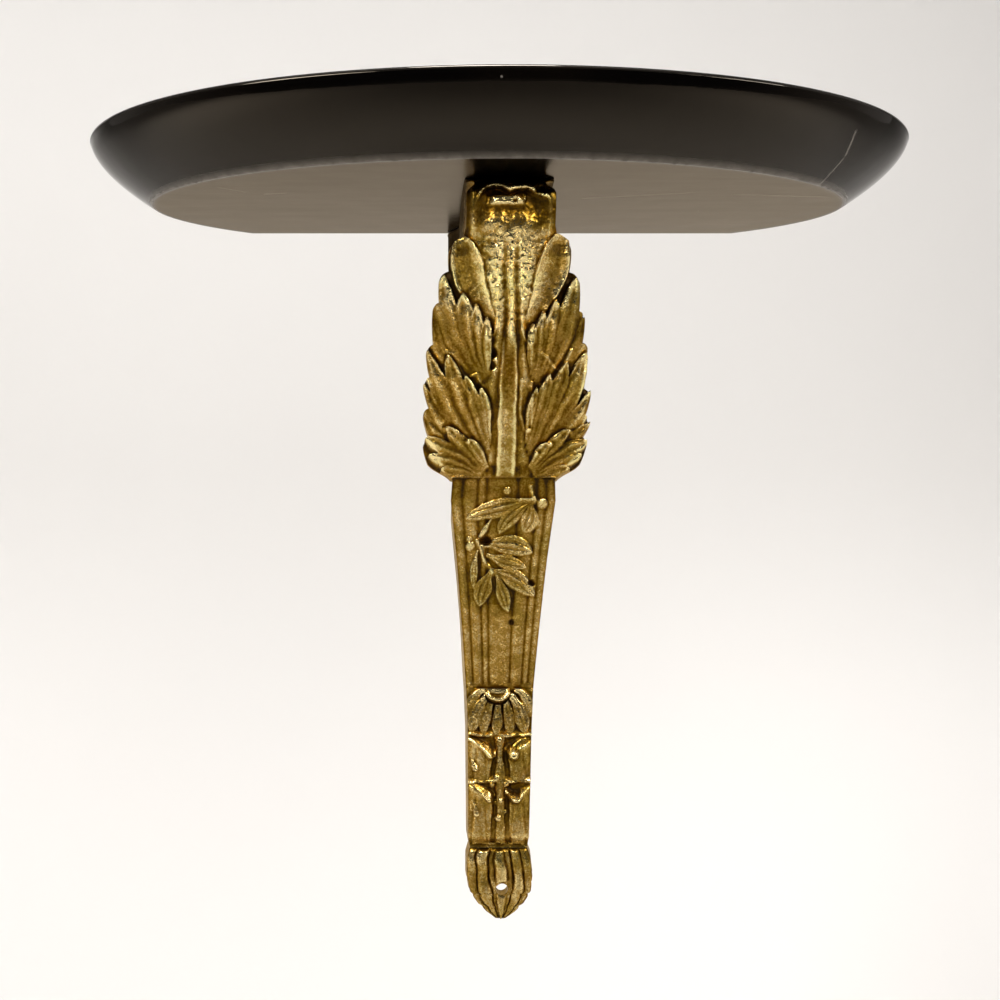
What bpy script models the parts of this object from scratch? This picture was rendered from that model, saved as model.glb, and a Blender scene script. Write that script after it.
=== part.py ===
"""Wall bracket shelf: a black lacquered board carried by one cast brass acanthus bracket.

Metres, +Z up. The wall is the plane Y = 0, the shelf stands out towards -Y, and the origin is the
middle of the board's back face. Run with: blender --background --python part.py
"""

import math

import bmesh
import bpy
from mathutils import Matrix, Vector

MM = 0.001
CLEARANCE = 0.3 * MM

# Finishes
LACQUER_COLOUR = (0.012, 0.011, 0.013)
LACQUER_ROUGHNESS = 0.12
BRASS_COLOUR = (0.42, 0.30, 0.10)
BRASS_ROUGHNESS = 0.38

# Board: an ellipse cut off flat by the wall, with a rounded belly running in to a flat underside
BOARD_HALF_WIDTH = 145.0 * MM
BOARD_FRONT_RADIUS = 82.4 * MM
BOARD_CENTRE_FROM_WALL = 38.6 * MM
BOARD_THICKNESS = 21.4 * MM
BOARD_LIP = 1.4 * MM
LIP_STEPS = ((0.4, 0.7), (0.6, 0.3))
RIM_BAND = 0.5 * MM
BELLY_RUN = 21.0 * MM
BELLY_TURN_DEPTH = 8.3 * MM
BOARD_SEGMENTS = 104
FLAT_FACING = 0.9
BOARD_SHARP_ANGLE = 16.0
BRACKET_SHARP_ANGLE = 40.0
BELLY_STEPS = 5
BOARD_TOP = BOARD_THICKNESS / 2
BOARD_BOTTOM = -BOARD_THICKNESS / 2

# Bracket side view: distance from the wall and height of the front face, then of the back face
BRACKET_OFFSET = 2.3 * MM
BRACKET_TOP = BOARD_BOTTOM - CLEARANCE
TAB_TIP = -280.6 * MM
NECK = -250.4 * MM
STEM_FOOT = -187.3 * MM
LEAF_FOOT = -108.0 * MM
LEAF_TOP = -30.0 * MM
SIDE_VIEW = (
    (2.6, -280.6, 0.0, -280.6),
    (6.6, -268.0, 0.0, -268.0),
    (9.0, -254.0, 0.0, -254.0),
    (13.0, -240.0, 0.0, -240.0),
    (16.0, -222.0, 0.0, -222.0),
    (18.0, -205.0, 0.0, -205.0),
    (19.5, -187.3, 0.0, -190.0),
    (25.5, -163.7, 4.5, -171.0),
    (33.5, -137.9, 13.0, -147.0),
    (42.0, -116.0, 22.0, -124.0),
    (51.5, -95.0, 31.5, -101.0),
    (58.5, -80.0, 39.0, -83.0),
    (66.0, -64.0, 45.0, -65.0),
    (73.5, -48.0, 48.5, -48.0),
    (79.0, -36.0, 48.0, -36.0),
    (84.0, -25.0, 44.5, -27.0),
    (85.5, -17.5, 40.0, -22.5),
    (81.5, -12.2, 35.0, -20.2),
    (76.0, -11.0, 30.0, -19.2),
    (50.0, -11.0, 22.0, -18.7),
    (22.0, -11.0, 11.0, -18.6),
    (0.0, -11.0, 0.0, -18.6),
)

# Half widths of the body, by height, up to the head of the leaf
BODY_WIDTHS = (
    (-280.6, 1.8),
    (-278.0, 5.0),
    (-274.0, 8.6),
    (-269.0, 11.6),
    (-262.0, 12.5),
    (-254.0, 12.0),
    (-250.4, 10.8),
    (-246.0, 11.5),
    (-205.0, 11.9),
    (-187.3, 12.5),
    (-163.7, 14.2),
    (-137.9, 16.3),
    (-116.0, 18.6),
    (-100.0, 17.5),
    (-60.0, 14.5),
    (-30.0, 14.2),
    (-16.0, 14.2),
    (-11.0, 13.0),
)
TAB_SHIFT = 1.4 * MM
ARM_HALF_WIDTH = 15.0 * MM
ARM_WALL_HALF_WIDTH = 19.3 * MM
ARM_FLARE_LENGTH = 12.0 * MM
ARM_START_ROW = 17.8
HEAD_ROW = 16.0
ARM_FULL_ROW = 19.0

# Screw hole through the tab
HOLE_HEIGHT = -267.6 * MM
HOLE_DIAMETER = 4.8 * MM
HOLE_SIDES = 16
HOLE_CUT_LENGTH = 60.0 * MM

# Acanthus leaf: toothed outline, as tip height, half width at the tip and depth of the notch below it
LEAF_LIFT = 2.6 * MM
LEAF_THICKNESS = 3.0 * MM
LEAF_BEND = 8.0 * MM
LEAF_FOOT_HALF_WIDTH = 19.0 * MM
LEAF_FOOT_RISE = 7.0 * MM
LEAFLET_TIPS = (
    (-93.8, 29.2, 2.2),
    (-84.8, 29.3, 2.6),
    (-75.0, 29.4, 2.6),
    (-63.4, 28.0, 2.4),
    (-51.3, 25.4, 2.2),
    (-40.4, 22.0, 2.4),
    (-31.4, 19.8, 1.4),
)
TIP_ROUNDING = 0.9 * MM
TIP_ROUNDING_START = 0.86
LEAF_FADE = 3.0 * MM
EDGE_SETBACK = 0.8 * MM
PLAIN_THICKNESS = 1.2 * MM

# Leaflets of one side, as root x and z, tip x and z, half width and lift at the tip, in millimetres
LEAFLET_ROOT_SHARE = 0.35
LEAFLETS = (
    (8.5, -108.5, 27.2, -100.2, 2.4, 2.0),
    (7.0, -107.5, 28.8, -94.4, 3.0, 2.6),
    (7.0, -107.0, 21.4, -91.6, 3.2, 2.8),
    (6.5, -107.0, 14.0, -96.6, 2.8, 2.4),
    (8.5, -103.5, 28.9, -85.4, 3.4, 2.2),
    (8.0, -102.0, 29.0, -75.6, 3.4, 2.2),
    (7.5, -100.0, 27.4, -64.0, 3.4, 2.3),
    (6.8, -98.0, 21.3, -66.0, 3.0, 2.2),
    (6.2, -95.5, 14.2, -74.0, 3.2, 2.0),
    (12.0, -70.0, 25.0, -51.8, 2.8, 2.0),
    (9.5, -68.0, 21.4, -41.0, 3.0, 2.2),
    (8.0, -67.0, 15.8, -46.5, 2.6, 2.0),
    (6.8, -66.0, 11.2, -53.0, 2.0, 1.8),
    (5.5, -51.0, 17.6, -31.6, 4.8, 1.5),
)
MIDRIB_HALF_WIDTH = 1.8 * MM
MIDRIB_HEIGHT = 1.3 * MM
MIDRIB_FOOT_HALF_WIDTH = 4.0 * MM
MIDRIB_FOOT_LOW = -104.0 * MM
MIDRIB_FOOT_HIGH = -70.0 * MM

# Head: the curled tip of the leaf, a hollow under a brow with two arches, between raised rims
HEAD_HOLLOW_HALF_WIDTH = 11.8 * MM
HEAD_HOLLOW_DEPTH = 2.6 * MM
HEAD_HOLLOW_EDGE = 2.0 * MM
HEAD_HOLLOW_FOOT = 4.0 * MM
HEAD_BEND = 2.0 * MM
HEAD_LIFT_START = -18.0 * MM
HEAD_LIFT_END = -12.0 * MM
BROW_Z = -15.6 * MM
BROW_DIP = 2.0 * MM
BROW_EDGE = 1.5 * MM

# Stem: a centre panel between two beads and an outer fillet on each side, as shares of the half width
GROOVE_DEPTH = 1.3 * MM
STEM_GROOVES = (0.35, 0.60, 0.83)
STEM_BEADS = (0.50, 0.71)
GROOVE_HALF_SHARE = 0.055
BEAD_SINK = 0.35 * MM
STEM_END_BLEND = 3.0 * MM

# Shape of one leaf blade: where it is widest, how full its ends are, and its least half width
BLADE_WIDEST_POWER = 1.2
BLADE_END_POWER = 2.5
BLADE_MIN_WIDTH = 0.05 * MM

# Laurel sprig on the stem: root x and z, tip x and z, half width, all in millimetres
SPRIG_LEAVES = (
    (8.0, -117.0, -13.2, -124.2, 2.9),
    (8.0, -117.5, 0.4, -130.0, 2.6),
    (8.5, -117.0, 8.6, -129.5, 3.0),
    (-4.0, -131.0, 11.8, -137.5, 3.4),
    (-3.0, -138.0, 8.6, -142.0, 2.4),
    (-1.0, -144.5, 12.6, -153.0, 3.4),
    (-1.5, -145.5, -7.6, -157.5, 2.8),
    (0.0, -146.0, 4.4, -160.0, 2.6),
    (-7.0, -137.0, -6.6, -149.0, 1.8),
)
SPRIG_BERRIES = ((14.2, -118.4), (-11.4, -134.8))
BERRY_RADIUS = 2.3 * MM
SPRIG_HEIGHT = 1.7 * MM

# Lower ornament: a bud over a fan, then two tiers of folded leaves
TIERS = (
    {"low": -204.0, "high": -188.0, "height": 2.6},
    {"low": -223.4, "high": -205.4, "height": 3.0},
    {"low": -248.6, "high": -224.8, "height": 3.4},
)
TIER_CENTRE_STEM = 1.6 * MM
TIER_FOLD_HALF_WIDTH = 3.2 * MM
TIER_FOLD_DEPTH = 1.6 * MM
BUD_RADIUS = 4.6 * MM
BUD_HEIGHT = 1.8 * MM
BUD_Z = -192.5 * MM
FAN_PETALS = 6
FAN_PETAL_SHARE = 0.3
FAN_ROOT_SHARE = 0.35
TIER_ROOT_SHARE = 0.45
TIER_SWELL_POWER = 0.55

# Tab: ridges spreading from a point above the neck, under a rounded shoulder
TAB_RIDGES = 7
TAB_RIDGE_DEPTH = 1.1 * MM
TAB_RIDGE_CENTRE = NECK + 6.0 * MM
TAB_RIDGE_SPREAD = math.radians(60.0)
TAB_SHOULDER = 1.6 * MM
TAB_SHOULDER_DROP = 5.0 * MM
TAB_SHOULDER_LENGTH = 7.0 * MM

# Spacing of the lofted sections along the front face, by zone
SPACING_ORNAMENT = 1.9 * MM
SPACING_STEM = 3.2 * MM
SPACING_LEAF = 1.6 * MM
SPACING_HEAD = 2.2 * MM
SPACING_ARM = 8.0 * MM
SECTION_STEP = 0.01
COLUMN_SHARES = (0.0, 0.14, 0.28, 0.35, 0.50, 0.60, 0.71, 0.83, 0.91, 1.0)


def clear_scene():
    """Empty the scene, so that the script can be run again from the text editor."""
    for item in list(bpy.data.objects):
        bpy.data.objects.remove(item, do_unlink=True)


def new_collection(name):
    """Make a collection in the scene."""
    collection = bpy.data.collections.new(name)
    bpy.context.scene.collection.children.link(collection)
    return collection


def new_material(name, colour, roughness, metallic):
    """Make a Principled material."""
    material = bpy.data.materials.new(name)
    material.use_nodes = True
    shader = material.node_tree.nodes["Principled BSDF"]
    shader.inputs["Base Color"].default_value = (*colour, 1.0)
    shader.inputs["Roughness"].default_value = roughness
    shader.inputs["Metallic"].default_value = metallic
    material.diffuse_color = (*colour, 1.0)
    return material


def add_object(name, bm, material, collection):
    """Turn a bmesh into an object of the collection."""
    bmesh.ops.recalc_face_normals(bm, faces=bm.faces)
    mesh = bpy.data.meshes.new(name)
    bm.to_mesh(mesh)
    bm.free()
    mesh.materials.append(material)
    item = bpy.data.objects.new(name, mesh)
    collection.objects.link(item)
    return item


def shade_smooth(item, degrees):
    """Shade an object smooth, except over edges sharper than the angle."""
    item.data.shade_smooth()
    item.data.set_sharp_from_angle(angle=math.radians(degrees))


def clamp(value, low=0.0, high=1.0):
    """Keep a value between two limits."""
    return max(low, min(high, value))


def smooth_step(value, low, high):
    """Rise smoothly from 0 at low to 1 at high."""
    share = clamp((value - low) / (high - low))
    return share * share * (3.0 - 2.0 * share)


def mix(start, end, share):
    """Blend two numbers."""
    return start + (end - start) * share


def table_value(table, position):
    """Read a list of (position, value) pairs in millimetres at a position in metres, in straight runs."""
    place = position / MM
    if place <= table[0][0]:
        return table[0][1] * MM
    for (low, low_value), (high, high_value) in zip(table, table[1:]):
        if place <= high:
            return mix(low_value, high_value, (place - low) / (high - low)) * MM
    return table[-1][1] * MM


def bump(offset, half_width):
    """A rounded hump, 1 in the middle and 0 past its half width."""
    share = abs(offset) / half_width
    return 0.0 if share >= 1.0 else (1.0 - share * share) ** 0.5


def curve_point(rows, place):
    """A point of the smooth curve through the rows, place counting rows from 0."""
    last = len(rows) - 1
    index = min(int(place), last - 1)
    share = place - index
    before, start = rows[max(index - 1, 0)], rows[index]
    end, after = rows[index + 1], rows[min(index + 2, last)]
    values = []
    for a, b, c, d in zip(before, start, end, after):
        values.append(
            0.5
            * (
                2.0 * b
                + (c - a) * share
                + (2.0 * a - 5.0 * b + 4.0 * c - d) * share**2
                + (3.0 * b - a - 3.0 * c + d) * share**3
            )
            * MM
        )
    return values


def leaf_half_width(z):
    """Half width of the acanthus leaf's toothed outline at a height."""
    low = LEAF_FOOT + LEAF_FOOT_RISE
    width = 0.0
    for tip_z, tip_width, notch in LEAFLET_TIPS:
        high = tip_z * MM
        share = clamp((z - low) / (high - low))
        width = tip_width * MM - notch * MM * (1.0 - share) ** 2
        width -= TIP_ROUNDING * smooth_step(share, TIP_ROUNDING_START, 1.0)
        if z <= high:
            break
        low = high
    foot = smooth_step(z, LEAF_FOOT, LEAF_FOOT + LEAF_FOOT_RISE)
    return mix(LEAF_FOOT_HALF_WIDTH, width, foot)


def leaf_relief(x, z):
    """Midrib and leaflets of the acanthus leaf."""
    foot = 1.0 - smooth_step(z, MIDRIB_FOOT_LOW, MIDRIB_FOOT_HIGH)
    rib_width = mix(MIDRIB_HALF_WIDTH, MIDRIB_FOOT_HALF_WIDTH, foot)
    height = MIDRIB_HEIGHT * bump(x, rib_width)
    for *blade, lift in LEAFLETS:
        height = max(height, lift * MM * blade_height(abs(x), z, blade, LEAFLET_ROOT_SHARE))
    return height


def head_relief(x, z):
    """The hollow under the brow at the leaf's curled tip."""
    arch = BROW_DIP * abs(math.cos(x / HEAD_HOLLOW_HALF_WIDTH * math.pi))
    below_brow = smooth_step(BROW_Z - arch - z, 0.0, BROW_EDGE)
    above_foot = smooth_step(z, LEAF_TOP, LEAF_TOP + HEAD_HOLLOW_FOOT)
    between_sides = smooth_step(HEAD_HOLLOW_HALF_WIDTH - abs(x), 0.0, HEAD_HOLLOW_EDGE)
    return -HEAD_HOLLOW_DEPTH * below_brow * above_foot * between_sides


def stem_relief(share):
    """Grooves and beads along the stem, by share of its half width."""
    side = abs(share)
    depth = 0.0
    for groove in STEM_GROOVES:
        if abs(side - groove) < GROOVE_HALF_SHARE:
            depth = GROOVE_DEPTH
    for bead in STEM_BEADS:
        if abs(side - bead) < GROOVE_HALF_SHARE:
            depth = BEAD_SINK
    return -depth


def blade_height(x, z, blade, root_share=1.0):
    """Height share of one leaf blade at a point: 0 outside it, 1 on its midline, less towards its root."""
    root_x, root_z, tip_x, tip_z, half_width = (value * MM for value in blade)
    along_x, along_z = tip_x - root_x, tip_z - root_z
    length = math.hypot(along_x, along_z)
    along = ((x - root_x) * along_x + (z - root_z) * along_z) / length**2
    if not 0.0 < along < 1.0:
        return 0.0
    across = ((x - root_x) * along_z - (z - root_z) * along_x) / length
    end = abs(2.0 * along**BLADE_WIDEST_POWER - 1.0) ** BLADE_END_POWER
    outline = half_width * (1.0 - end) + BLADE_MIN_WIDTH
    return bump(across, outline) * mix(root_share, 1.0, along)


def sprig_relief(x, z):
    """Raised laurel leaves and berries."""
    height = 0.0
    for blade in SPRIG_LEAVES:
        height = max(height, blade_height(x, z, blade) * SPRIG_HEIGHT)
    for berry_x, berry_z in SPRIG_BERRIES:
        away = math.hypot(x - berry_x * MM, z - berry_z * MM)
        height = max(height, bump(away, BERRY_RADIUS) * BERRY_RADIUS)
    return height


def fan_relief(x, z, swell, drop):
    """The bud and the petals of the fan below it."""
    turn = math.atan2(x, BUD_Z + BUD_RADIUS - z)
    petal = 1.0 - FAN_PETAL_SHARE * (0.5 - 0.5 * math.cos(turn * FAN_PETALS))
    fan = swell * petal * mix(FAN_ROOT_SHARE, 1.0, drop)
    bud = bump(math.hypot(x, z - BUD_Z), BUD_RADIUS) * (BUD_HEIGHT + swell)
    return max(fan, bud)


def ornament_relief(x, z):
    """The bud and fan, and the two tiers of folded leaves below them."""
    side = abs(x)
    for number, tier in enumerate(TIERS):
        low, high = tier["low"] * MM, tier["high"] * MM
        if not low <= z <= high:
            continue
        drop = (high - z) / (high - low)
        swell = math.sin(math.pi * drop**TIER_SWELL_POWER) * tier["height"] * MM
        if number == 0:
            return fan_relief(x, z, swell, drop)
        if side < TIER_CENTRE_STEM:
            return TIER_FOLD_DEPTH
        fold = bump(side - BUD_RADIUS / 2 - TIER_FOLD_HALF_WIDTH, TIER_FOLD_HALF_WIDTH)
        return swell * mix(TIER_ROOT_SHARE, 1.0, fold)
    return 0.0


def tab_relief(x, z):
    """Ridges fanning out over the tab, with a rounded shoulder below the neck."""
    spread = math.atan2(x, TAB_RIDGE_CENTRE - z) / TAB_RIDGE_SPREAD
    ridge = 0.5 + 0.5 * math.cos(spread * math.pi * TAB_RIDGES)
    shoulder = bump(z - (NECK - TAB_SHOULDER_DROP), TAB_SHOULDER_LENGTH) * TAB_SHOULDER
    fade = smooth_step(z, TAB_TIP, TAB_TIP + TAB_SHOULDER_DROP)
    return (ridge - 1.0) * TAB_RIDGE_DEPTH * fade + shoulder


def front_relief(x, share, z):
    """Height of the carving over the plain front face at a point of it."""
    if z < NECK:
        return tab_relief(x, z)
    if z < STEM_FOOT:
        return ornament_relief(x, z)
    if z < LEAF_FOOT:
        raised = sprig_relief(x, z)
        grooves = smooth_step(z, STEM_FOOT, STEM_FOOT + STEM_END_BLEND) * stem_relief(share)
        return raised if raised > 0.0 else grooves
    if z < LEAF_TOP:
        return leaf_relief(x, z)
    return head_relief(x, z)


def body_half_width(place, front_y, front_z):
    """Half width of the body: the table up to the head, then the arm with its flare at the wall."""
    body = table_value(BODY_WIDTHS, front_z)
    flare = 1.0 - smooth_step(front_y, 0.0, ARM_FLARE_LENGTH)
    arm = mix(ARM_HALF_WIDTH, ARM_WALL_HALF_WIDTH, flare)
    return mix(body, arm, smooth_step(place, HEAD_ROW, ARM_FULL_ROW))


def column_shares(spread):
    """Places of the columns across the front: by the stem's flutes, or even where spread is 1."""
    count = len(COLUMN_SHARES) - 1
    right = [mix(share, index / count, spread) for index, share in enumerate(COLUMN_SHARES)]
    return [-share for share in right[:0:-1]] + right


def section(place):
    """One closed ring of points around the bracket."""
    front_y, front_z, back_y, back_z = curve_point(SIDE_VIEW, place)
    front_y, back_y = max(front_y, 0.0), max(back_y, 0.0)
    front, back = Vector((0.0, -front_y, front_z)), Vector((0.0, -back_y, back_z))
    outward = (front - back).normalized()
    on_arm = place > ARM_START_ROW
    half_width = body_half_width(place, front_y, front_z)
    leaf = smooth_step(front_z, LEAF_FOOT - EDGE_SETBACK, LEAF_FOOT + EDGE_SETBACK)
    leaf *= 1.0 - smooth_step(front_z, LEAF_TOP - EDGE_SETBACK, LEAF_TOP + LEAF_FADE)
    head = 0.0 if on_arm else smooth_step(front_z, LEAF_TOP - LEAF_FADE, LEAF_TOP + LEAF_FADE)
    head_lift = head * (1.0 - smooth_step(front_z, HEAD_LIFT_START, HEAD_LIFT_END))
    edge = mix(half_width, leaf_half_width(front_z), leaf)
    inner_edge = min(half_width, edge)
    centre = BRACKET_OFFSET + TAB_SHIFT * (1.0 - smooth_step(front_z, TAB_TIP, TAB_RIDGE_CENTRE))
    lift = LEAF_LIFT * max(leaf, head_lift)
    bend = LEAF_BEND * leaf + HEAD_BEND * head

    def point(x, origin, away):
        spot = origin + outward * away
        return Vector((centre + x, min(spot.y, 0.0), min(spot.z, BRACKET_TOP)))

    ring = []
    for share in column_shares(max(leaf, head)):
        x = share * edge
        carved = 0.0 if on_arm else front_relief(x, share, front_z)
        ring.append(point(x, front, lift + carved - bend * share * share))
    depth = lift - bend - mix(PLAIN_THICKNESS, LEAF_THICKNESS, leaf)
    ring.append(point(edge, front, depth))
    ring.append(point(inner_edge, front, depth - EDGE_SETBACK))
    ring.append(point(half_width, back, 0.0))
    ring.append(point(0.0, back, 0.0))
    ring.append(point(-half_width, back, 0.0))
    ring.append(point(-inner_edge, front, depth - EDGE_SETBACK))
    ring.append(point(-edge, front, depth))
    return ring


def section_spacing(place, z):
    """Distance to the next section, closer together where the carving is."""
    if place > ARM_START_ROW:
        return SPACING_ARM
    if z > LEAF_TOP:
        return SPACING_HEAD
    if z > LEAF_FOOT:
        return SPACING_LEAF
    if z > STEM_FOOT:
        return SPACING_STEM
    return SPACING_ORNAMENT


def section_places():
    """Places of the sections along the side view."""
    places = [0.0]
    place, travelled = 0.0, 0.0
    last = len(SIDE_VIEW) - 1
    before = Vector(curve_point(SIDE_VIEW, 0.0)[:2])
    while place < last - SECTION_STEP:
        place += SECTION_STEP
        now = Vector(curve_point(SIDE_VIEW, place)[:2])
        travelled += (now - before).length
        before = now
        if travelled >= section_spacing(place, now.y):
            places.append(place)
            travelled = 0.0
    places[-1] = float(last)
    return places


def make_board(material, collection):
    """The board: an elliptical slab with a rounded belly, cut off by the wall."""
    bm = bmesh.new()
    bmesh.ops.create_circle(bm, cap_ends=True, radius=1.0, segments=BOARD_SEGMENTS)
    bmesh.ops.scale(bm, vec=(BOARD_HALF_WIDTH, BOARD_FRONT_RADIUS, 1.0), verts=bm.verts)
    lip_bottom = BOARD_TOP - BOARD_LIP
    bmesh.ops.translate(bm, vec=(0.0, -BOARD_CENTRE_FROM_WALL, lip_bottom), verts=bm.verts)
    top = bm.faces[:]
    under = bmesh.ops.extrude_face_region(bm, geom=top, use_keep_orig=True)["geom"]
    under_verts = [part for part in under if isinstance(part, bmesh.types.BMVert)]
    bmesh.ops.translate(bm, vec=(0.0, 0.0, -RIM_BAND), verts=under_verts)
    bmesh.ops.recalc_face_normals(bm, faces=bm.faces)
    belly = [face for face in bm.faces if face.normal.z < -FLAT_FACING]
    run_before, drop_before = 0.0, BOARD_LIP + RIM_BAND
    for number in range(1, BELLY_STEPS + 1):
        share = number / BELLY_STEPS
        run = BELLY_RUN * share**2
        drop = 2.0 * share * (1.0 - share) * BELLY_TURN_DEPTH + share**2 * BOARD_THICKNESS
        if drop > drop_before:
            bmesh.ops.inset_region(
                bm, faces=belly, thickness=run - run_before, depth=drop - drop_before, use_even_offset=True
            )
            run_before, drop_before = run, drop
    lip = [face for face in bm.faces if face.normal.z > FLAT_FACING]
    for run_share, rise_share in LIP_STEPS:
        run, rise = run_share * BOARD_LIP, rise_share * BOARD_LIP
        bmesh.ops.inset_region(bm, faces=lip, thickness=run, depth=rise, use_even_offset=True)
    everything = bm.verts[:] + bm.edges[:] + bm.faces[:]
    cut = bmesh.ops.bisect_plane(
        bm, geom=everything, plane_co=(0.0, 0.0, 0.0), plane_no=(0.0, 1.0, 0.0), clear_outer=True
    )
    cut_edges = [part for part in cut["geom_cut"] if isinstance(part, bmesh.types.BMEdge)]
    bmesh.ops.contextual_create(bm, geom=cut_edges)
    item = add_object("shelf_board", bm, material, collection)
    shade_smooth(item, BOARD_SHARP_ANGLE)
    return item


def make_bracket(material, collection, cutters):
    """The brass casting: a loft from the screw tab up the stem to the leaf, then back along the arm."""
    bm = bmesh.new()
    rings = [[bm.verts.new(spot) for spot in section(place)] for place in section_places()]
    for ring, after in zip(rings, rings[1:]):
        for index, corner in enumerate(ring):
            beside = (index + 1) % len(ring)
            bm.faces.new((corner, ring[beside], after[beside], after[index]))
    bm.faces.new(rings[0])
    bm.faces.new(rings[-1])
    item = add_object("brass_bracket", bm, material, collection)
    cutter = bmesh.new()
    turned = Matrix.Translation((BRACKET_OFFSET + TAB_SHIFT, 0.0, HOLE_HEIGHT)) @ Matrix.Rotation(
        math.pi / 2, 4, "X"
    )
    bmesh.ops.create_cone(
        cutter,
        cap_ends=True,
        segments=HOLE_SIDES,
        radius1=HOLE_DIAMETER / 2,
        radius2=HOLE_DIAMETER / 2,
        depth=HOLE_CUT_LENGTH,
        matrix=turned,
    )
    drill = add_object("screw_hole_cutter", cutter, material, cutters)
    drill.hide_render = True
    drill.display_type = "WIRE"
    bore = item.modifiers.new("screw_hole", "BOOLEAN")
    bore.operation = "DIFFERENCE"
    bore.solver = "EXACT"
    bore.object = drill
    shade_smooth(item, BRACKET_SHARP_ANGLE)
    return item


def main():
    """Build the shelf."""
    clear_scene()
    collection = new_collection("wall_bracket_shelf")
    cutters = new_collection("cutters")
    lacquer = new_material("black_lacquer", LACQUER_COLOUR, LACQUER_ROUGHNESS, 0.0)
    brass = new_material("antique_brass", BRASS_COLOUR, BRASS_ROUGHNESS, 1.0)
    make_board(lacquer, collection)
    make_bracket(brass, collection, cutters)


main()
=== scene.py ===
"""Looks of the wall bracket shelf: a black lacquered board on one cast brass acanthus bracket."""

import math

import bmesh
import bpy
import numpy as np
from mathutils import Matrix, Vector
from bpy.props import FloatProperty, FloatVectorProperty, IntProperty, PointerProperty


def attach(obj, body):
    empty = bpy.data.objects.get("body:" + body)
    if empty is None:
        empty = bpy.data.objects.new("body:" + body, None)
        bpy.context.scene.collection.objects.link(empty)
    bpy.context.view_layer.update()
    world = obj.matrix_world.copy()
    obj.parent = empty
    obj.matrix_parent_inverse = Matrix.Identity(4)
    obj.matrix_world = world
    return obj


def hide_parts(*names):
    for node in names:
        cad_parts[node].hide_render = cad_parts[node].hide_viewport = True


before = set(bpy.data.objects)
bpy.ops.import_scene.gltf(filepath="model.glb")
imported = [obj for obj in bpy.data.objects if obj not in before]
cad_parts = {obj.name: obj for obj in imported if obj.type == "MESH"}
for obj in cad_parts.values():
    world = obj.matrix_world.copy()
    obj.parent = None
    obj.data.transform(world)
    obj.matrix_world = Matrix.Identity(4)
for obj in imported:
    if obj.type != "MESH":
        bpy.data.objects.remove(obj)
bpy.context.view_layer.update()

bl_info = {
    "name": "Wall Bracket Shelf",
    "version": (1, 0, 0),
    "blender": (4, 5, 0),
    "location": "View3D > Sidebar > Bracket Shelf",
    "description": "Builds a small lacquered wall shelf on a cast brass acanthus bracket",
    "category": "Add Mesh",
}

MM = 0.001

# Side view of the bracket: distance from the wall and height of the front face, then of the back face
SIDE_VIEW = (
    (2.6, -280.6, 0.0, -280.6),
    (6.6, -268.0, 0.0, -268.0),
    (9.0, -254.0, 0.0, -254.0),
    (13.0, -240.0, 0.0, -240.0),
    (16.0, -222.0, 0.0, -222.0),
    (18.0, -205.0, 0.0, -205.0),
    (19.5, -187.3, 0.0, -190.0),
    (25.5, -163.7, 4.5, -171.0),
    (33.5, -137.9, 13.0, -147.0),
    (42.0, -116.0, 22.0, -124.0),
    (51.5, -95.0, 31.5, -101.0),
    (58.5, -80.0, 39.0, -83.0),
    (66.0, -64.0, 45.0, -65.0),
    (73.5, -48.0, 48.5, -48.0),
    (79.0, -36.0, 48.0, -36.0),
    (84.0, -25.0, 44.5, -27.0),
    (85.5, -17.5, 40.0, -22.5),
    (81.5, -12.2, 35.0, -20.2),
    (76.0, -11.0, 30.0, -19.2),
    (50.0, -11.0, 22.0, -18.7),
    (22.0, -11.0, 11.0, -18.6),
    (0.0, -11.0, 0.0, -18.6),
)
HEAD_ROW = 16.0
ARM_START_ROW = 17.8
ARM_FULL_ROW = 19.0

# Half widths of the body, by height
BODY_WIDTHS = (
    (-280.6, 1.8),
    (-278.0, 5.0),
    (-274.0, 8.6),
    (-269.0, 11.6),
    (-262.0, 12.5),
    (-254.0, 12.0),
    (-250.4, 10.8),
    (-246.0, 11.5),
    (-205.0, 11.9),
    (-187.3, 12.5),
    (-163.7, 14.2),
    (-137.9, 16.3),
    (-116.0, 18.6),
    (-100.0, 17.5),
    (-60.0, 14.5),
    (-30.0, 14.2),
    (-16.0, 14.2),
    (-11.0, 13.0),
)
BRACKET_TOP = -11.0 * MM
TAB_TIP = -280.6 * MM
NECK = -250.4 * MM
STEM_FOOT = -187.3 * MM
LEAF_FOOT = -108.0 * MM
LEAF_TOP = -30.0 * MM
TAB_RIDGE_CENTRE = NECK + 6.0 * MM

# Leaf's toothed outline: tip height, half width, depth of the notch above it, height of its rounded tip
LEFT_TEETH = (
    (-93.2, 28.9, 2.3, 2.4),
    (-83.8, 28.9, 2.5, 2.6),
    (-73.8, 28.8, 2.6, 2.8),
    (-63.4, 27.5, 2.5, 3.0),
    (-50.4, 25.0, 2.0, 2.6),
    (-40.4, 22.6, 2.8, 3.4),
    (-30.6, 19.5, 5.0, 4.8),
)
RIGHT_TEETH = (
    (-93.2, 29.5, 2.3, 2.4),
    (-86.0, 30.6, 2.7, 2.6),
    (-76.4, 29.8, 2.6, 2.8),
    (-62.8, 27.8, 2.4, 3.0),
    (-53.0, 25.7, 2.0, 2.6),
    (-40.6, 22.8, 3.0, 3.4),
    (-29.4, 19.8, 5.2, 4.8),
)

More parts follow.
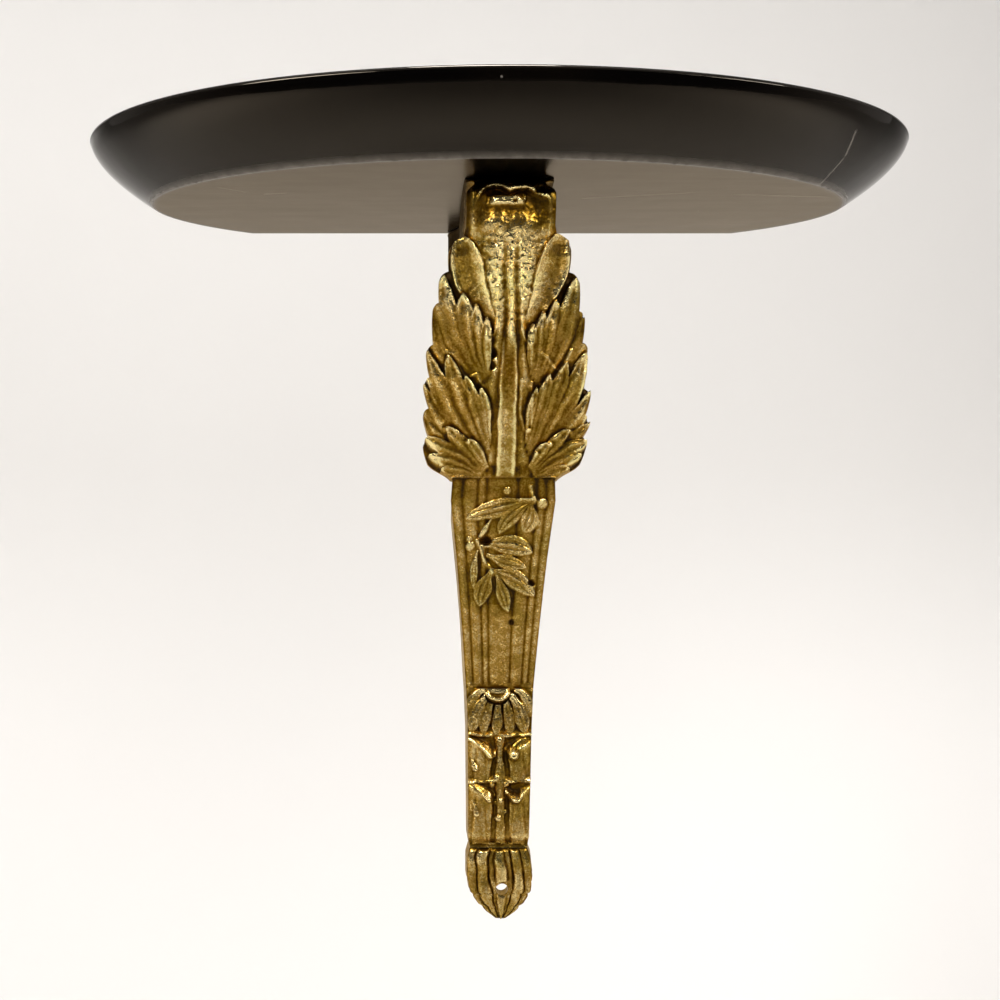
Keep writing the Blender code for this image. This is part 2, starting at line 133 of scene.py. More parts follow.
# Leaflets in millimetres from the bracket's middle, lowest layer first: root, middle and tip, then half width
LEFT_LOBES = (
    (
        (-4.9, -59.0, -12.2, -44.8, -16.4, -29.8, 4.6),
    ),
    (
        (-9.9, -79.0, -22.6, -65.6, -24.9, -51.4, 2.7),
        (-8.5, -77.2, -19.2, -60.0, -21.6, -41.8, 3.7),
        (-7.9, -76.6, -13.8, -61.0, -14.8, -47.4, 2.7),
        (-7.2, -75.6, -10.3, -62.8, -11.0, -51.2, 2.1),
        (-6.5, -74.6, -7.3, -64.6, -7.6, -55.4, 1.7),
    ),
    (
        (-9.4, -104.1, -22.7, -94.9, -28.3, -84.9, 2.0),
        (-8.7, -103.4, -22.7, -89.8, -28.3, -75.2, 2.4),
        (-7.3, -102.7, -20.3, -83.1, -27.2, -64.5, 2.8),
        (-6.6, -102.0, -15.2, -83.3, -20.4, -66.5, 2.7),
        (-6.3, -100.3, -10.7, -85.0, -14.0, -73.8, 2.3),
        (-6.0, -97.9, -6.9, -86.7, -8.8, -77.8, 1.5),
    ),
    (
        (-7.2, -107.5, -18.5, -102.9, -27.0, -99.0, 1.8),
        (-6.9, -106.8, -19.2, -99.1, -28.4, -92.7, 2.2),
        (-6.5, -106.1, -14.7, -97.8, -20.3, -90.5, 2.2),
        (-6.2, -105.5, -9.8, -100.3, -13.0, -95.8, 1.7),
        (-8.6, -108.6, -16.0, -106.6, -22.6, -104.2, 1.8),
    ),
)
RIGHT_LOBES = (
    (
        (6.0, -59.0, 12.9, -44.2, 16.8, -28.9, 4.6),
    ),
    (
        (12.4, -79.6, 22.9, -67.0, 25.8, -54.2, 2.7),
        (10.4, -78.4, 19.0, -61.6, 22.0, -42.4, 3.6),
        (9.9, -77.0, 14.0, -62.6, 15.6, -49.4, 2.5),
        (9.1, -75.6, 10.6, -64.4, 11.4, -53.1, 1.9),
        (8.4, -74.3, 8.0, -65.8, 8.2, -57.2, 1.5),
    ),
    (
        (11.7, -104.0, 23.7, -94.9, 30.2, -87.2, 2.0),
        (11.0, -103.4, 23.4, -89.8, 29.6, -77.2, 2.4),
        (9.5, -102.7, 20.5, -83.2, 27.3, -64.9, 2.8),
        (8.8, -102.0, 15.8, -83.3, 20.4, -69.1, 2.5),
        (8.0, -100.3, 12.0, -85.0, 14.6, -73.2, 2.2),
        (7.6, -97.9, 8.6, -86.7, 10.6, -77.8, 1.5),
    ),
    (
        (9.7, -107.5, 19.7, -102.9, 27.7, -99.0, 1.8),
        (9.3, -106.8, 21.3, -99.1, 29.9, -93.7, 2.2),
        (9.0, -106.1, 16.5, -97.8, 22.4, -91.5, 2.0),
        (8.6, -105.4, 12.3, -100.2, 15.0, -96.8, 1.7),
        (10.2, -108.6, 17.4, -106.6, 23.6, -104.2, 1.8),
    ),
)
LOBE_RISE = ((1.6, -0.34), (2.3, 0.30), (2.9, 0.28), (3.1, 0.26))
LEAFLET_ROOT_SHARE = 0.38
LOBE_MOAT = 1.5
LOBE_MOAT_CELLS = 3.2
LEAFLET_SPREAD = (1.15, 1.30, 1.34, 1.25)

# Hollows in the leaf behind the tips, as x, z, radius and depth
LEAF_HOLLOWS = (
    (-19.6, -40.2, 2.2, 1.6),
    (-13.0, -46.5, 2.6, 1.8),
    (-24.8, -63.4, 2.4, 1.4),
    (-26.9, -74.3, 1.8, 1.2),
    (-26.6, -84.2, 1.8, 1.2),
    (-5.3, -66.6, 1.8, 1.9),
    (-5.3, -70.6, 1.6, 1.6),
    (19.2, -41.1, 2.4, 1.6),
    (14.0, -47.2, 2.4, 1.8),
    (11.9, -51.8, 1.8, 1.5),
    (23.7, -52.0, 1.6, 1.0),
    (26.9, -63.6, 2.2, 1.4),
    (28.5, -76.0, 1.8, 1.2),
    (29.1, -86.0, 1.8, 1.2),
    (-4.8, -105.6, 2.0, 0.7),
    (6.2, -105.6, 2.0, 0.7),
)

# Raised lines on the leaf: the hooked ends of the inner folds and the wrinkled upper rims
LEAF_LINES = (
    ((-3.9, -46.0), (-4.1, -49.6), (-4.0, -56.3), (-4.8, -60.7), (-6.1, -62.8), (-7.5, -61.3)),
    ((4.4, -50.0), (4.7, -58.2), (5.5, -61.9), (7.3, -64.4), (8.6, -63.1), (8.1, -58.1)),
    (
        (-20.8, -65.5), (-18.7, -66.6), (-16.7, -69.9), (-15.0, -73.8), (-12.6, -74.5), (-10.3, -73.3),
        (-8.2, -77.2),
    ),
    ((11.5, -66.7), (13.6, -67.7), (15.5, -70.6), (18.1, -72.4), (19.7, -69.1), (21.9, -65.2)),
    ((5.0, -75.4), (5.0, -88.0), (6.4, -92.3), (7.7, -93.2), (8.7, -91.6), (8.7, -76.0)),
)
LEAF_KNOBS = (
    (-20.6, -91.5),
    (-13.0, -96.8),
    (-8.5, -79.1),
    (11.6, -77.1),
    (7.7, -92.8),
    (29.0, -94.4),
    (15.8, -97.4),
    (10.9, -100.9),
    (22.8, -92.2),
)

# Midrib: a narrow rib above, and below it a shallow panel between two thin edges
RIB_LINE = ((0.1, -30.0), (0.3, -40.0), (0.9, -52.0), (1.2, -64.0))
PANEL_LEFT = ((-1.0, -60.0), (-1.8, -64.2), (-2.3, -81.9), (-2.7, -105.5))
PANEL_RIGHT = ((2.2, -60.0), (2.9, -64.2), (3.5, -81.9), (3.6, -95.2), (3.6, -105.5))

# Brow of the curled head: places along its lower edge
BROW = (
    (-14.5, -26.0), (-12.0, -22.0), (-10.7, -19.6), (-9.5, -17.8), (-7.8, -15.9), (-5.5, -14.9),
    (-3.4, -15.6), (-1.4, -16.9), (-0.5, -17.3), (1.5, -16.6), (4.7, -16.1), (7.5, -17.6),
    (11.3, -19.3), (12.7, -21.5), (14.5, -26.0),
)

# Laurel sprig: root, middle and tip, then half width
SPRIG_LEAVES = (
    (10.9, -116.7, -1.2, -118.9, -13.3, -122.8, 2.9),
    (9.5, -117.4, 2.5, -122.5, -1.4, -128.3, 2.5),
    (9.9, -117.8, 9.7, -123.2, 7.3, -127.9, 2.9),
    (-6.4, -132.3, 3.5, -132.7, 11.2, -135.6, 3.3),
    (-5.2, -136.4, 2.2, -139.0, 8.8, -140.8, 2.4),
    (-3.6, -142.3, 4.8, -145.3, 12.3, -151.7, 3.0),
    (-8.9, -134.9, -10.2, -141.6, -10.1, -149.1, 1.3),
    (-4.0, -142.7, -6.8, -149.1, -7.9, -155.5, 2.9),
    (-1.8, -143.8, 0.5, -151.0, 2.5, -157.8, 2.2),
    (-4.3, -123.2, -6.4, -126.8, -8.9, -130.5, 0.9),
)
SPRIG_RISE = 0.85
SPRIG_SPREAD = 1.18
SPRIG_STALKS = (
    ((9.6, -111.4), (10.9, -116.0)),
    ((10.9, -116.4), (5.9, -116.4)),
    ((-8.9, -131.0), (-7.0, -137.0), (-3.3, -143.5)),
    ((11.0, -116.2), (13.4, -117.0)),
)
SPRIG_BERRIES = ((14.0, -117.3, 1.9), (-11.6, -132.9, 1.8), (-12.0, -130.3, 1.1), (1.3, -112.8, 1.5))
CASTING_HOLES = ((-6.0, -130.8, 2.0, 2.4), (11.1, -146.4, 1.3, 2.0), (4.1, -161.4, 1.1, 0.9))

# Stem: places of the grooves and beads, as shares of the half width
LEFT_GROOVES = (0.33, 0.50, 0.79)
RIGHT_GROOVES = (0.29, 0.65, 0.83)
GROOVE_WIDTH = 0.052
GROOVE_DEPTH = 0.62

# Lower ornament: cross ridges as height, rise and half width, then the bud and the drooping petals below it
RIDGE_LINES = (
    (-184.8, 1.5, 1.1),
    (-204.9, 1.7, 1.0),
    (-223.0, 1.7, 1.0),
)
BUD = (-0.8, -189.0, 5.0)
PETALS = (
    (-6.0, -188.0, -9.8, -191.0, -12.0, -198.4, 2.2),
    (6.4, -188.0, 9.8, -191.0, 11.8, -198.4, 2.2),
    (-3.0, -192.0, -5.0, -197.5, -6.4, -205.4, 2.3),
    (2.2, -192.0, 3.4, -197.5, 4.0, -205.8, 2.4),
    (4.6, -190.6, 7.6, -196.0, 9.4, -205.0, 2.8),
    (-5.2, -190.6, -8.4, -196.0, -10.6, -204.6, 2.7),
    (-0.6, -192.6, -0.8, -198.0, -1.2, -206.2, 2.2),
)
TIERS = (
    (-204.9, -223.0, ((-12.5, -205.0), (-11.3, -205.6), (-7.5, -207.9), (-4.8, -210.6), (-2.6, -211.8)),
     ((2.2, -209.6), (5.4, -211.8), (7.7, -208.8), (10.7, -207.4), (12.5, -206.6))),
    (-223.0, -249.0, ((-12.5, -223.4), (-9.7, -224.8), (-6.6, -227.5), (-3.6, -229.3), (-2.2, -230.0)),
     ((2.6, -226.4), (6.7, -229.2), (8.2, -227.2), (10.5, -225.6), (12.5, -224.6))),
)
TIER_ROLLS = (
    (-11.6, -206.2, -7.4, -208.2, -3.4, -211.8, 1.5),
    (11.0, -206.2, 7.6, -207.4, 5.2, -210.2, 1.2),
    (2.6, -208.0, 3.8, -210.2, 5.2, -212.2, 1.5),
    (-9.8, -223.8, -6.8, -226.2, -3.4, -228.8, 1.5),
    (2.8, -226.2, 4.4, -228.6, 5.8, -229.0, 1.4),
    (8.6, -226.4, 7.4, -228.4, 5.8, -229.0, 1.4),
    (-10.6, -214.6, -9.8, -216.2, -9.2, -218.0, 0.8),
    (-9.6, -231.6, -9.0, -233.6, -8.6, -236.0, 0.8),
)
TIER_KNOTS = (
    (-0.2, -206.6, 1.3),
    (-1.0, -221.6, 1.3),
    (-2.7, -224.4, 1.2),
    (2.6, -224.4, 1.2),
    (0.6, -230.5, 1.0),
    (-0.4, -237.7, 1.4),
    (2.2, -235.3, 0.9),
    (-10.1, -216.8, 0.8),
    (-9.2, -234.5, 0.8),
)
TIER_STEM = (
    (0.1, -206.0), (0.1, -213.3), (0.4, -220.0), (0.4, -226.0), (0.6, -233.0), (0.6, -241.0), (0.6, -250.0),
)
TIER_STEM_WIDTHS = (2.3, 1.2, 2.1, 1.9, 1.5, 1.8, 2.2)

# Tab: flutes as shares of the half width, with their half widths and rises
TAB_FLUTES = (
    (-0.87, 0.15, 1.1),
    (-0.53, 0.20, 2.0),
    (-0.22, 0.11, 1.2),
    (0.03, 0.19, 2.5),
    (0.28, 0.11, 1.2),
    (0.57, 0.18, 1.9),
    (0.88, 0.14, 1.1),
)

# Screw hole in the tab: its place across and its height, then its radius
HOLE_X = 3.7 * MM
HOLE_Z = -267.6 * MM
HOLE_RADIUS = 2.4 * MM
DRILL_LENGTH = 60.0 * MM
BORE_SHADE = 0.55

# Rough middle of the upper leaf that carries the cast grain
GRAIN_REACH = 11.0 * MM
GRAIN_FRONT = -58.0 * MM
GRAIN_FOOT = (-66.0 * MM, -50.0 * MM)
GRAIN_HEAD = (-33.0 * MM, -28.0 * MM)
GRAIN_SHADE = 0.24
GRAIN_INPUTS = {"Density": 2.4e6, "Size": 0.00019, "Seed": 4}

# Points around the carved front of each piece of the casting, and rows of the plain arm
LEAF_COLUMNS = 190
STEM_COLUMNS = 124
TAB_COLUMNS = 96
ARM_ROWS = 44

# Angle in radians between the noise's own grid and the rows of points, so that it shows no ladders
NOISE_TURN = 0.6

# Scratches of the lacquer in metres: start and end across and out from the wall, then half the line's width
SCRATCHES = (
    ((0.026, -0.052), (0.070, -0.061), 0.0005),
    ((0.078, -0.058), (0.118, -0.054), 0.0005),
    ((-0.096, -0.067), (-0.086, -0.060), 0.0004),
    ((-0.082, -0.058), (-0.072, -0.060), 0.0006),
    ((0.1126, -0.0860), (0.1118, -0.0772), 0.0006),
    ((0.1119, -0.0778), (0.1062, -0.0690), 0.0006),
)

# Stage: camera, backdrop, room and lights
SENSOR_WIDTH = 36.0
CAMERA_SHIFT = 0.0656
FLOOR_START = -0.95
BEND_START = 0.45
BACKDROP_TOP = 2.2
BACKDROP_REACH = 3.6
ROOM_LEVELS = ((0.0, 0.5), (0.14, 0.30), (0.22, 0.04), (0.50, 0.010), (0.62, 0.02), (0.78, 0.25), (1.0, 0.5))
ROOM_BACK = (0.48, 0.455, 0.44)
ROOM_SEEN = (0.66, 0.645, 0.625)
LIGHT_COLOUR = (1.0, 0.985, 0.965)

# Soft lights: name, place, aim, size, watts and spread in degrees; the last one lights the brass alone
LIGHTS = (
    ("pool_light", (0.0, -0.22, 1.20), (0.0, -0.05, -0.55), (0.4, 0.3), 0.85, 34.0),
    ("back_light", (-0.50, -0.15, 1.34), (-0.34, 1.10, -0.04), (3.2, 0.4), 13.4, 90.0),
    ("key_light", (-0.75, -0.95, 0.62), (0.0, -0.05, -0.12), (0.60, 0.45), 1.6, 40.0),
    ("fill_light", (0.85, -0.75, 0.45), (0.0, -0.05, -0.15), (0.50, 0.40), 1.15, 40.0),
    ("left_pool", (-1.0, -0.35, 0.9), (-1.0, -0.35, -0.7), (0.5, 0.5), 4.2, 55.0),
    ("right_pool", (1.0, -0.35, 0.9), (1.0, -0.35, -0.7), (0.5, 0.5), 3.0, 55.0),
    ("low_light", (-0.02, -0.80, -0.60), (0.0, -0.08, -0.045), (0.7, 0.10), 0.085, 40.0),
)


def metres(values):
    """A list of millimetre values as an array of metres."""
    return np.array(values, float) * MM


def smooth_step(value, low, high):
    """Rise smoothly from 0 at low to 1 at high."""
    share = np.clip((value - low) / (high - low), 0.0, 1.0)
    return share * share * (3.0 - 2.0 * share)


def blend(start, end, share):
    """Mix two fields."""
    return start + (end - start) * share


def hump(offset, half_width):
    """A rounded hump, 1 in the middle and 0 past its half width."""
    share = np.clip(np.abs(offset) / half_width, 0.0, 1.0)
    return np.sqrt(1.0 - share * share)


def bell(offset, half_width, power=2):
    """A soft bump, 1 in the middle and falling away past its half width, squarer with a higher power."""
    return np.exp(-((offset / half_width) ** power))


def table_value(table, position):
    """Read a table of pairs in millimetres at positions in metres."""
    places, values = metres(table).T
    return np.interp(position, places, values)


def side_points(places):
    """Points of the smooth curve through the side view: distance and height in front, then at the back."""
    rows = metres(SIDE_VIEW)
    last = len(rows) - 1
    index = np.minimum(places.astype(int), last - 1)
    share = (places - index)[:, None]
    before, start = rows[np.maximum(index - 1, 0)], rows[index]
    end, after = rows[index + 1], rows[np.minimum(index + 2, last)]
    steady = 2.0 * start + (end - before) * share
    square = (2.0 * before - 5.0 * start + 4.0 * end - after) * share**2
    cube = (3.0 * start - before - 3.0 * end + after) * share**3
    return 0.5 * (steady + square + cube)


def even_places(low_z, high_z, spacing):
    """Places along the side view between two heights, evenly spaced along the front face."""
    fine = np.linspace(0.0, len(SIDE_VIEW) - 1.0, 8000)
    front = side_points(fine)[:, :2]
    travelled = np.concatenate(([0.0], np.cumsum(np.hypot(*np.diff(front, axis=0).T))))
    head = int(np.argmax(front[:, 1] > high_z)) if high_z is not None else len(fine) - 1
    foot = int(np.argmax(front[:, 1] >= low_z))
    count = max(2, int(round((travelled[head] - travelled[foot]) / spacing)) + 1)
    return np.interp(np.linspace(travelled[foot], travelled[head], count), travelled, fine)


def value_noise(x, z, cell, seed):
    """Smooth seeded noise from -1 to 1 with a given cell size."""
    table = np.random.default_rng(seed).uniform(-1.0, 1.0, (256, 256))
    turn_cos, turn_sin = math.cos(NOISE_TURN), math.sin(NOISE_TURN)
    u = (turn_cos * x + turn_sin * z) / cell + 1000.0
    v = (turn_cos * z - turn_sin * x) / cell + 1000.0
    column, row = np.floor(u).astype(int), np.floor(v).astype(int)
    across, up = u - column, v - row
    across, up = across * across * (3 - 2 * across), up * up * (3 - 2 * up)
    lower = blend(table[row % 256, column % 256], table[row % 256, (column + 1) % 256], across)
    upper = blend(table[(row + 1) % 256, column % 256], table[(row + 1) % 256, (column + 1) % 256], across)
    return blend(lower, upper, up)


def line_field(x, z, points):
    """Distance to a broken line, the share of its length at the nearest point, and on which side of it."""
    points = np.asarray(points, float)
    steps = np.diff(points, axis=0)
    lengths = np.hypot(steps[:, 0], steps[:, 1])
    starts = np.concatenate(([0.0], np.cumsum(lengths)))
    distance = np.full(x.shape, np.inf)
    along, side = np.zeros(x.shape), np.zeros(x.shape)
    for point, step, length, start in zip(points, steps, lengths, starts):
        dx, dz = x - point[0], z - point[1]
        share = np.clip((dx * step[0] + dz * step[1]) / length**2, 0.0, 1.0)
        away = np.hypot(dx - share * step[0], dz - share * step[1])
        nearer = away < distance
        distance = np.where(nearer, away, distance)
        along = np.where(nearer, (start + share * length) / starts[-1], along)
        side = np.where(nearer, np.sign(dx * step[1] - dz * step[0]), side)
    return distance, along, side


def curve_through(root, middle, tip, count=12):
    """Points of a quadratic curve from root to tip that passes through the middle."""
    root, middle, tip = np.array(root), np.array(middle), np.array(tip)
    control = 2.0 * middle - 0.5 * (root + tip)
    share = np.linspace(0.0, 1.0, count)[:, None]
    return (1 - share) ** 2 * root + 2 * share * (1 - share) * control + share**2 * tip


def near(x, z, points, margin):
    """Where the grid lies near a set of points."""
    low, high = np.min(points, axis=0) - margin, np.max(points, axis=0) + margin
    return (x > low[0]) & (x < high[0]) & (z > low[1]) & (z < high[1])


def leaf_blade(x, z, blade, root_width, widest, taper=0.72):
    """Cover, place along and place across one blade, on the part of the grid near it."""
    values = metres(blade)
    curve = curve_through(values[0:2], values[2:4], values[4:6])
    here = near(x, z, curve, 2.0 * values[6])
    distance, along, side = line_field(x[here], z[here], curve)
    rise = root_width + (1.0 - root_width) * smooth_step(along, 0.0, widest)
    fall = np.clip((along - widest) / (1.0 - widest), 0.0, 1.0)
    width = values[6] * rise * (1.0 - fall**1.9) ** taper + 0.05 * MM
    across = side * distance / width
    return here, along, across, width


def add_lines(height, x, z, lines, rise, half_width):
    """Raise thin rounded lines on a relief."""
    for line in lines:
        points = metres(line)
        here = near(x, z, points, 2.0 * half_width)
        distance = line_field(x[here], z[here], points)[0]
        height[here] += rise * bell(distance, half_width)
    return height


def add_domes(height, x, z, domes, rise_share):
    """Set small domes on a relief: x, z and radius."""
    for dome_x, dome_z, radius in domes:
        away = np.hypot(x - dome_x * MM, z - dome_z * MM)
        cap = hump(away, radius * MM) * radius * MM * rise_share
        height = np.where(away < radius * MM, height * 0.5 + cap + 0.2 * MM, height)
    return height


def sink(height, x, z, hollows):
    """Sink soft hollows into a relief: x, z, radius and depth."""
    for hollow_x, hollow_z, radius, depth in hollows:
        away = np.hypot(x - hollow_x * MM, z - hollow_z * MM) / (radius * MM)
        height = height - depth * MM * bell(away, 1.0, 4)
    return height


def leaf_half_width(z, teeth):
    """Half width of one side of the toothed outline."""
    width = np.full(z.shape, teeth[-1][1] * MM)
    low, start = LEAF_FOOT + 6.0 * MM, 26.8 * MM
    for number, (tip_z, tip_width, notch, cap_height) in enumerate(teeth):
        high = tip_z * MM
        share = np.clip((z - low) / (high - low), 0.0, 1.0)
        cap = np.clip((z - high) / (cap_height * MM) + 1.0, 0.0, 1.0)
        piece = blend(start, tip_width * MM, share) + 0.35 * MM * np.sin(math.pi * share)
        piece -= notch * MM * (1.0 - np.sqrt(1.0 - 0.98 * cap**2))
        here = (z <= high) if number == 0 else (z > low)
        width = np.where(here, piece, width)
        low, start = high, (tip_width - notch) * MM
    foot = smooth_step(z, LEAF_FOOT, LEAF_FOOT + 7.0 * MM)
    return blend(19.0 * MM, width, foot)


def smooth_envelope(width, rows):
    """A smooth curve just outside a toothed one."""
    padded = np.pad(width, rows, mode="edge")
    highest = np.max([padded[start : start + len(width)] for start in range(2 * rows + 1)], axis=0)
    weights = np.hanning(2 * rows + 3)[1:-1]
    return np.convolve(np.pad(highest, rows, mode="edge"), weights / weights.sum(), mode="valid")


def midrib_relief(x, z):
    """The rib in the middle of the leaf, with a groove on each side, and the panel below it."""
    height = np.zeros(x.shape)
    rib = metres(RIB_LINE)
    centre = np.interp(-z, -rib[:, 1], rib[:, 0])
    upper = smooth_step(z, -70.0 * MM, -60.0 * MM)
    side = np.abs(x - centre)
    swell = blend(1.0, 1.5, smooth_step(-z, 50.0 * MM, 64.0 * MM))
    ridge = 1.5 * MM * bell(side, 1.05 * swell * MM, 3)
    ridge *= 1.0 - 0.85 * smooth_step(z, -40.0 * MM, -30.0 * MM)
    groove = 0.45 * MM * bell(side - 2.2 * MM, 0.7 * MM)
    bank = 0.5 * MM * bell(side - 4.3 * MM, 1.1 * MM) * (0.6 + 0.6 * value_noise(x, z, 6.0 * MM, 18))
    ending = 1.0 - 0.9 * smooth_step(z, -37.0 * MM, -29.0 * MM)
    height += upper * (ridge + ending * (bank - groove))
    left, right = metres(PANEL_LEFT), metres(PANEL_RIGHT)
    left_edge = np.interp(-z, -left[:, 1], left[:, 0])
    right_edge = np.interp(-z, -right[:, 1], right[:, 0])
    middle, half = 0.5 * (left_edge + right_edge), 0.5 * (right_edge - left_edge)
    share = (x - middle) / half
    lower = 1.0 - smooth_step(z, -68.0 * MM, -58.0 * MM)
    panel = (1.0 - 0.45 * (1.0 - share**2)) * MM * (1.0 - smooth_step(np.abs(share), 0.9, 1.25))
    fold = 0.45 * MM * bell(np.abs(share) - 0.92, 0.2)
    gutter = 0.45 * MM * bell(np.abs(share) - 1.5, 0.28)
    ground = 0.9 * MM * bell(x - 0.5 * MM, 9.0 * MM, 6)
    streaks = 0.16 * MM * value_noise(x, 0.08 * z, 0.9 * MM, 19)
    height += lower * (panel + fold - gutter + (ground + streaks) * smooth_step(np.abs(share), 1.0, 1.5))
    return height


def lobe_relief(height, x, z, lobe, rise, fullness, spread, seed):
    """Lay one lobe, a fan of overlapping leaflets, over the relief so far, with a recess around it."""
    cover = np.zeros(x.shape)
    top = np.full(x.shape, -1.0)
    dished = fullness < 0.0
    flute = 0.03 * MM if dished else 0.20 * MM
    widest, taper = (0.66, 0.62) if dished else (0.60, 0.72)
    for number, blade in enumerate(lobe):
        here, along, across, width = leaf_blade(x, z, (*blade[:6], blade[6] * spread), 0.42, widest, taper)
        inside = np.clip((1.0 - np.abs(across)) * width / (0.34 * MM), 0.0, 1.0)
        inside *= smooth_step(along, 0.0, 0.06)
        lift = rise * MM * blend(LEAFLET_ROOT_SHARE, 1.0, along**1.3)
        plump = blend(0.5, 1.0, smooth_step(along, 0.0, 0.5)) * (1.0 - 0.35 * smooth_step(along, 0.7, 1.0))
        dome = fullness * width * (1.0 - across**2) * plump
        waver = 0.8 * value_noise(x[here], z[here], 5.0 * MM, 61 + number)
        strand = np.cos(2.1 * math.pi * across + 0.9 * (seed + number) + 1.2 * along + waver)
        surface = lift + dome - 0.55 * MM + flute * strand * smooth_step(along, 0.05, 0.3)
        rim = smooth_step(np.abs(across), 0.70, 0.86) * (1.0 - smooth_step(np.abs(across), 0.93, 1.0))
        surface += (0.6 if dished else 0.34) * MM * rim * smooth_step(along, 0.30 if dished else 0.62, 0.85)
        surface -= 0.35 * MM * bell(along - 0.87, 0.06) * (1.0 - smooth_step(np.abs(across), 0.4, 0.7))
        top[here] = np.maximum(top[here], np.where(inside > 0.0, surface, -1.0))
        cover[here] = np.maximum(cover[here], inside)
    moat = gauss_blur(cover, LOBE_MOAT_CELLS) * (1.0 - cover)
    depth = (0.4 if dished else 1.0) * LOBE_MOAT * MM
    height = height - depth * moat * smooth_step(z, -112.0 * MM, -98.0 * MM)
    return np.where(cover > 0.0, blend(height, np.maximum(top, height - 2.0 * MM), cover), height)


def leaf_relief(x, share, z):
    """The acanthus leaf."""
    bent_x = x + 0.32 * MM * value_noise(x, z, 4.5 * MM, 11) + 0.10 * MM * value_noise(x, z, 1.6 * MM, 14)
    bent_z = z + 0.32 * MM * value_noise(x, z, 4.5 * MM, 12) + 0.10 * MM * value_noise(x, z, 1.6 * MM, 15)
    height = midrib_relief(bent_x, bent_z)
    height -= 1.5 * MM * smooth_step(np.abs(x), 9.0 * MM, 24.0 * MM)
    upper = smooth_step(z, -64.0 * MM, -50.0 * MM)
    height += (0.20 * value_noise(x, z, 1.5 * MM, 13) + 0.16 * value_noise(x, z, 0.8 * MM, 16)) * MM * upper
    height -= 0.6 * MM * bell(np.abs(x) - 8.5 * MM, 2.6 * MM) * upper
    height = sink(height, bent_x, bent_z, LEAF_HOLLOWS)
    for number, (rise, fullness) in enumerate(LOBE_RISE):
        spread = LEAFLET_SPREAD[number]
        for side, lobes in enumerate((LEFT_LOBES, RIGHT_LOBES)):
            seed = side + 2.0 * number
            height = lobe_relief(height, bent_x, bent_z, lobes[number], rise, fullness, spread, seed)
    height = add_lines(height, bent_x, bent_z, LEAF_LINES, 0.6 * MM, 0.5 * MM)
    for knob_x, knob_z in LEAF_KNOBS:
        away = np.hypot(x - knob_x * MM, z - knob_z * MM)
        height += 0.7 * MM * bell(away, 0.7 * MM, 4)
        pit = np.hypot(x - knob_x * MM - 0.9 * MM * np.sign(knob_x), z - knob_z * MM - 1.1 * MM)
        height -= 0.8 * MM * bell(pit, 0.7 * MM)
    height += 0.07 * MM * value_noise(x, z, 0.9 * MM, 17)
    return height


def head_relief(x, z):
    """The curled tip: a rough hollow under a brow of two arches, between soft cheeks."""
    below = table_value(BROW, x) - z
    inside = smooth_step(x, -11.8 * MM, -6.4 * MM) * (1.0 - smooth_step(x, 7.6 * MM, 12.8 * MM))
    hollow = smooth_step(below, 0.0, 0.8 * MM) * (1.0 - smooth_step(below, 2.5 * MM, 13.0 * MM))
    height = -2.9 * MM * hollow * inside
    span = smooth_step(x, -12.4 * MM, -9.4 * MM) * (1.0 - smooth_step(x, 11.0 * MM, 13.2 * MM))
    height += 0.95 * MM * bell(below + 0.6 * MM, 0.95 * MM) * span
    height += 0.55 * MM * bell(x - 12.5 * MM, 0.7 * MM) * (1.0 - smooth_step(z, -20.0 * MM, -17.0 * MM))
    height += 0.7 * MM * bell(x + 12.2 * MM, 0.9 * MM) * (1.0 - smooth_step(z, -18.0 * MM, -15.0 * MM))
    height -= 1.0 * MM * smooth_step(-x, 12.4 * MM, 14.3 * MM)
    band = bell(np.abs(x + 1.5 * MM), 5.6 * MM, 6) * bell(np.abs(z + 20.0 * MM), 1.7 * MM, 4)
    height += 1.9 * MM * band
    ring = np.hypot(x - 3.2 * MM, z + 19.0 * MM)
    height += 0.6 * MM * bell(ring - 1.3 * MM, 0.45 * MM)
    height -= 1.2 * MM * bell(np.hypot(x - 1.1 * MM, z + 20.3 * MM), 0.7 * MM)
    lens = np.hypot((x + 5.6 * MM) / 2.6, z + 17.3 * MM)
    height -= 0.9 * MM * bell(lens, 0.75 * MM)
    flaw = np.hypot((x - 9.8 * MM) / 1.3, z + 16.6 * MM) + 0.5 * MM * value_noise(x, z, 1.2 * MM, 21)
    height -= 2.8 * MM * bell(flaw, 1.7 * MM, 4)
    curl = np.hypot(x + 0.5 * MM, (z + 14.2 * MM) * 1.2)
    height += 0.9 * MM * bell(curl - 0.8 * MM, 0.55 * MM)
    rough = smooth_step(-z, 20.5 * MM, 23.0 * MM)
    height += (0.11 * value_noise(x, z, 1.2 * MM, 22) + 0.10 * value_noise(x, z, 2.8 * MM, 23)) * MM * rough
    return height + 0.08 * MM * value_noise(x, z, 0.7 * MM, 24)


def stem_relief(x, share, z):
    """Grooves and beads along the stem, with the laurel sprig over them."""
    height = np.zeros(x.shape)
    fade = smooth_step(z, STEM_FOOT + 1.0 * MM, STEM_FOOT + 3.0 * MM)
    for sign, grooves in ((-1.0, LEFT_GROOVES), (1.0, RIGHT_GROOVES)):
        side = sign * share
        for groove in grooves:
            cut = bell(side - groove, GROOVE_WIDTH) * (side > 0.0)
            height -= GROOVE_DEPTH * MM * cut * fade
        for inner, outer in zip(grooves, grooves[1:]):
            middle, half = 0.5 * (inner + outer), 0.5 * (outer - inner)
            height += 0.22 * MM * hump(side - middle, half) * (side > 0.0) * fade
        height -= 0.5 * MM * smooth_step(side, 0.93, 1.0)
    return sprig_relief(height, x, z)


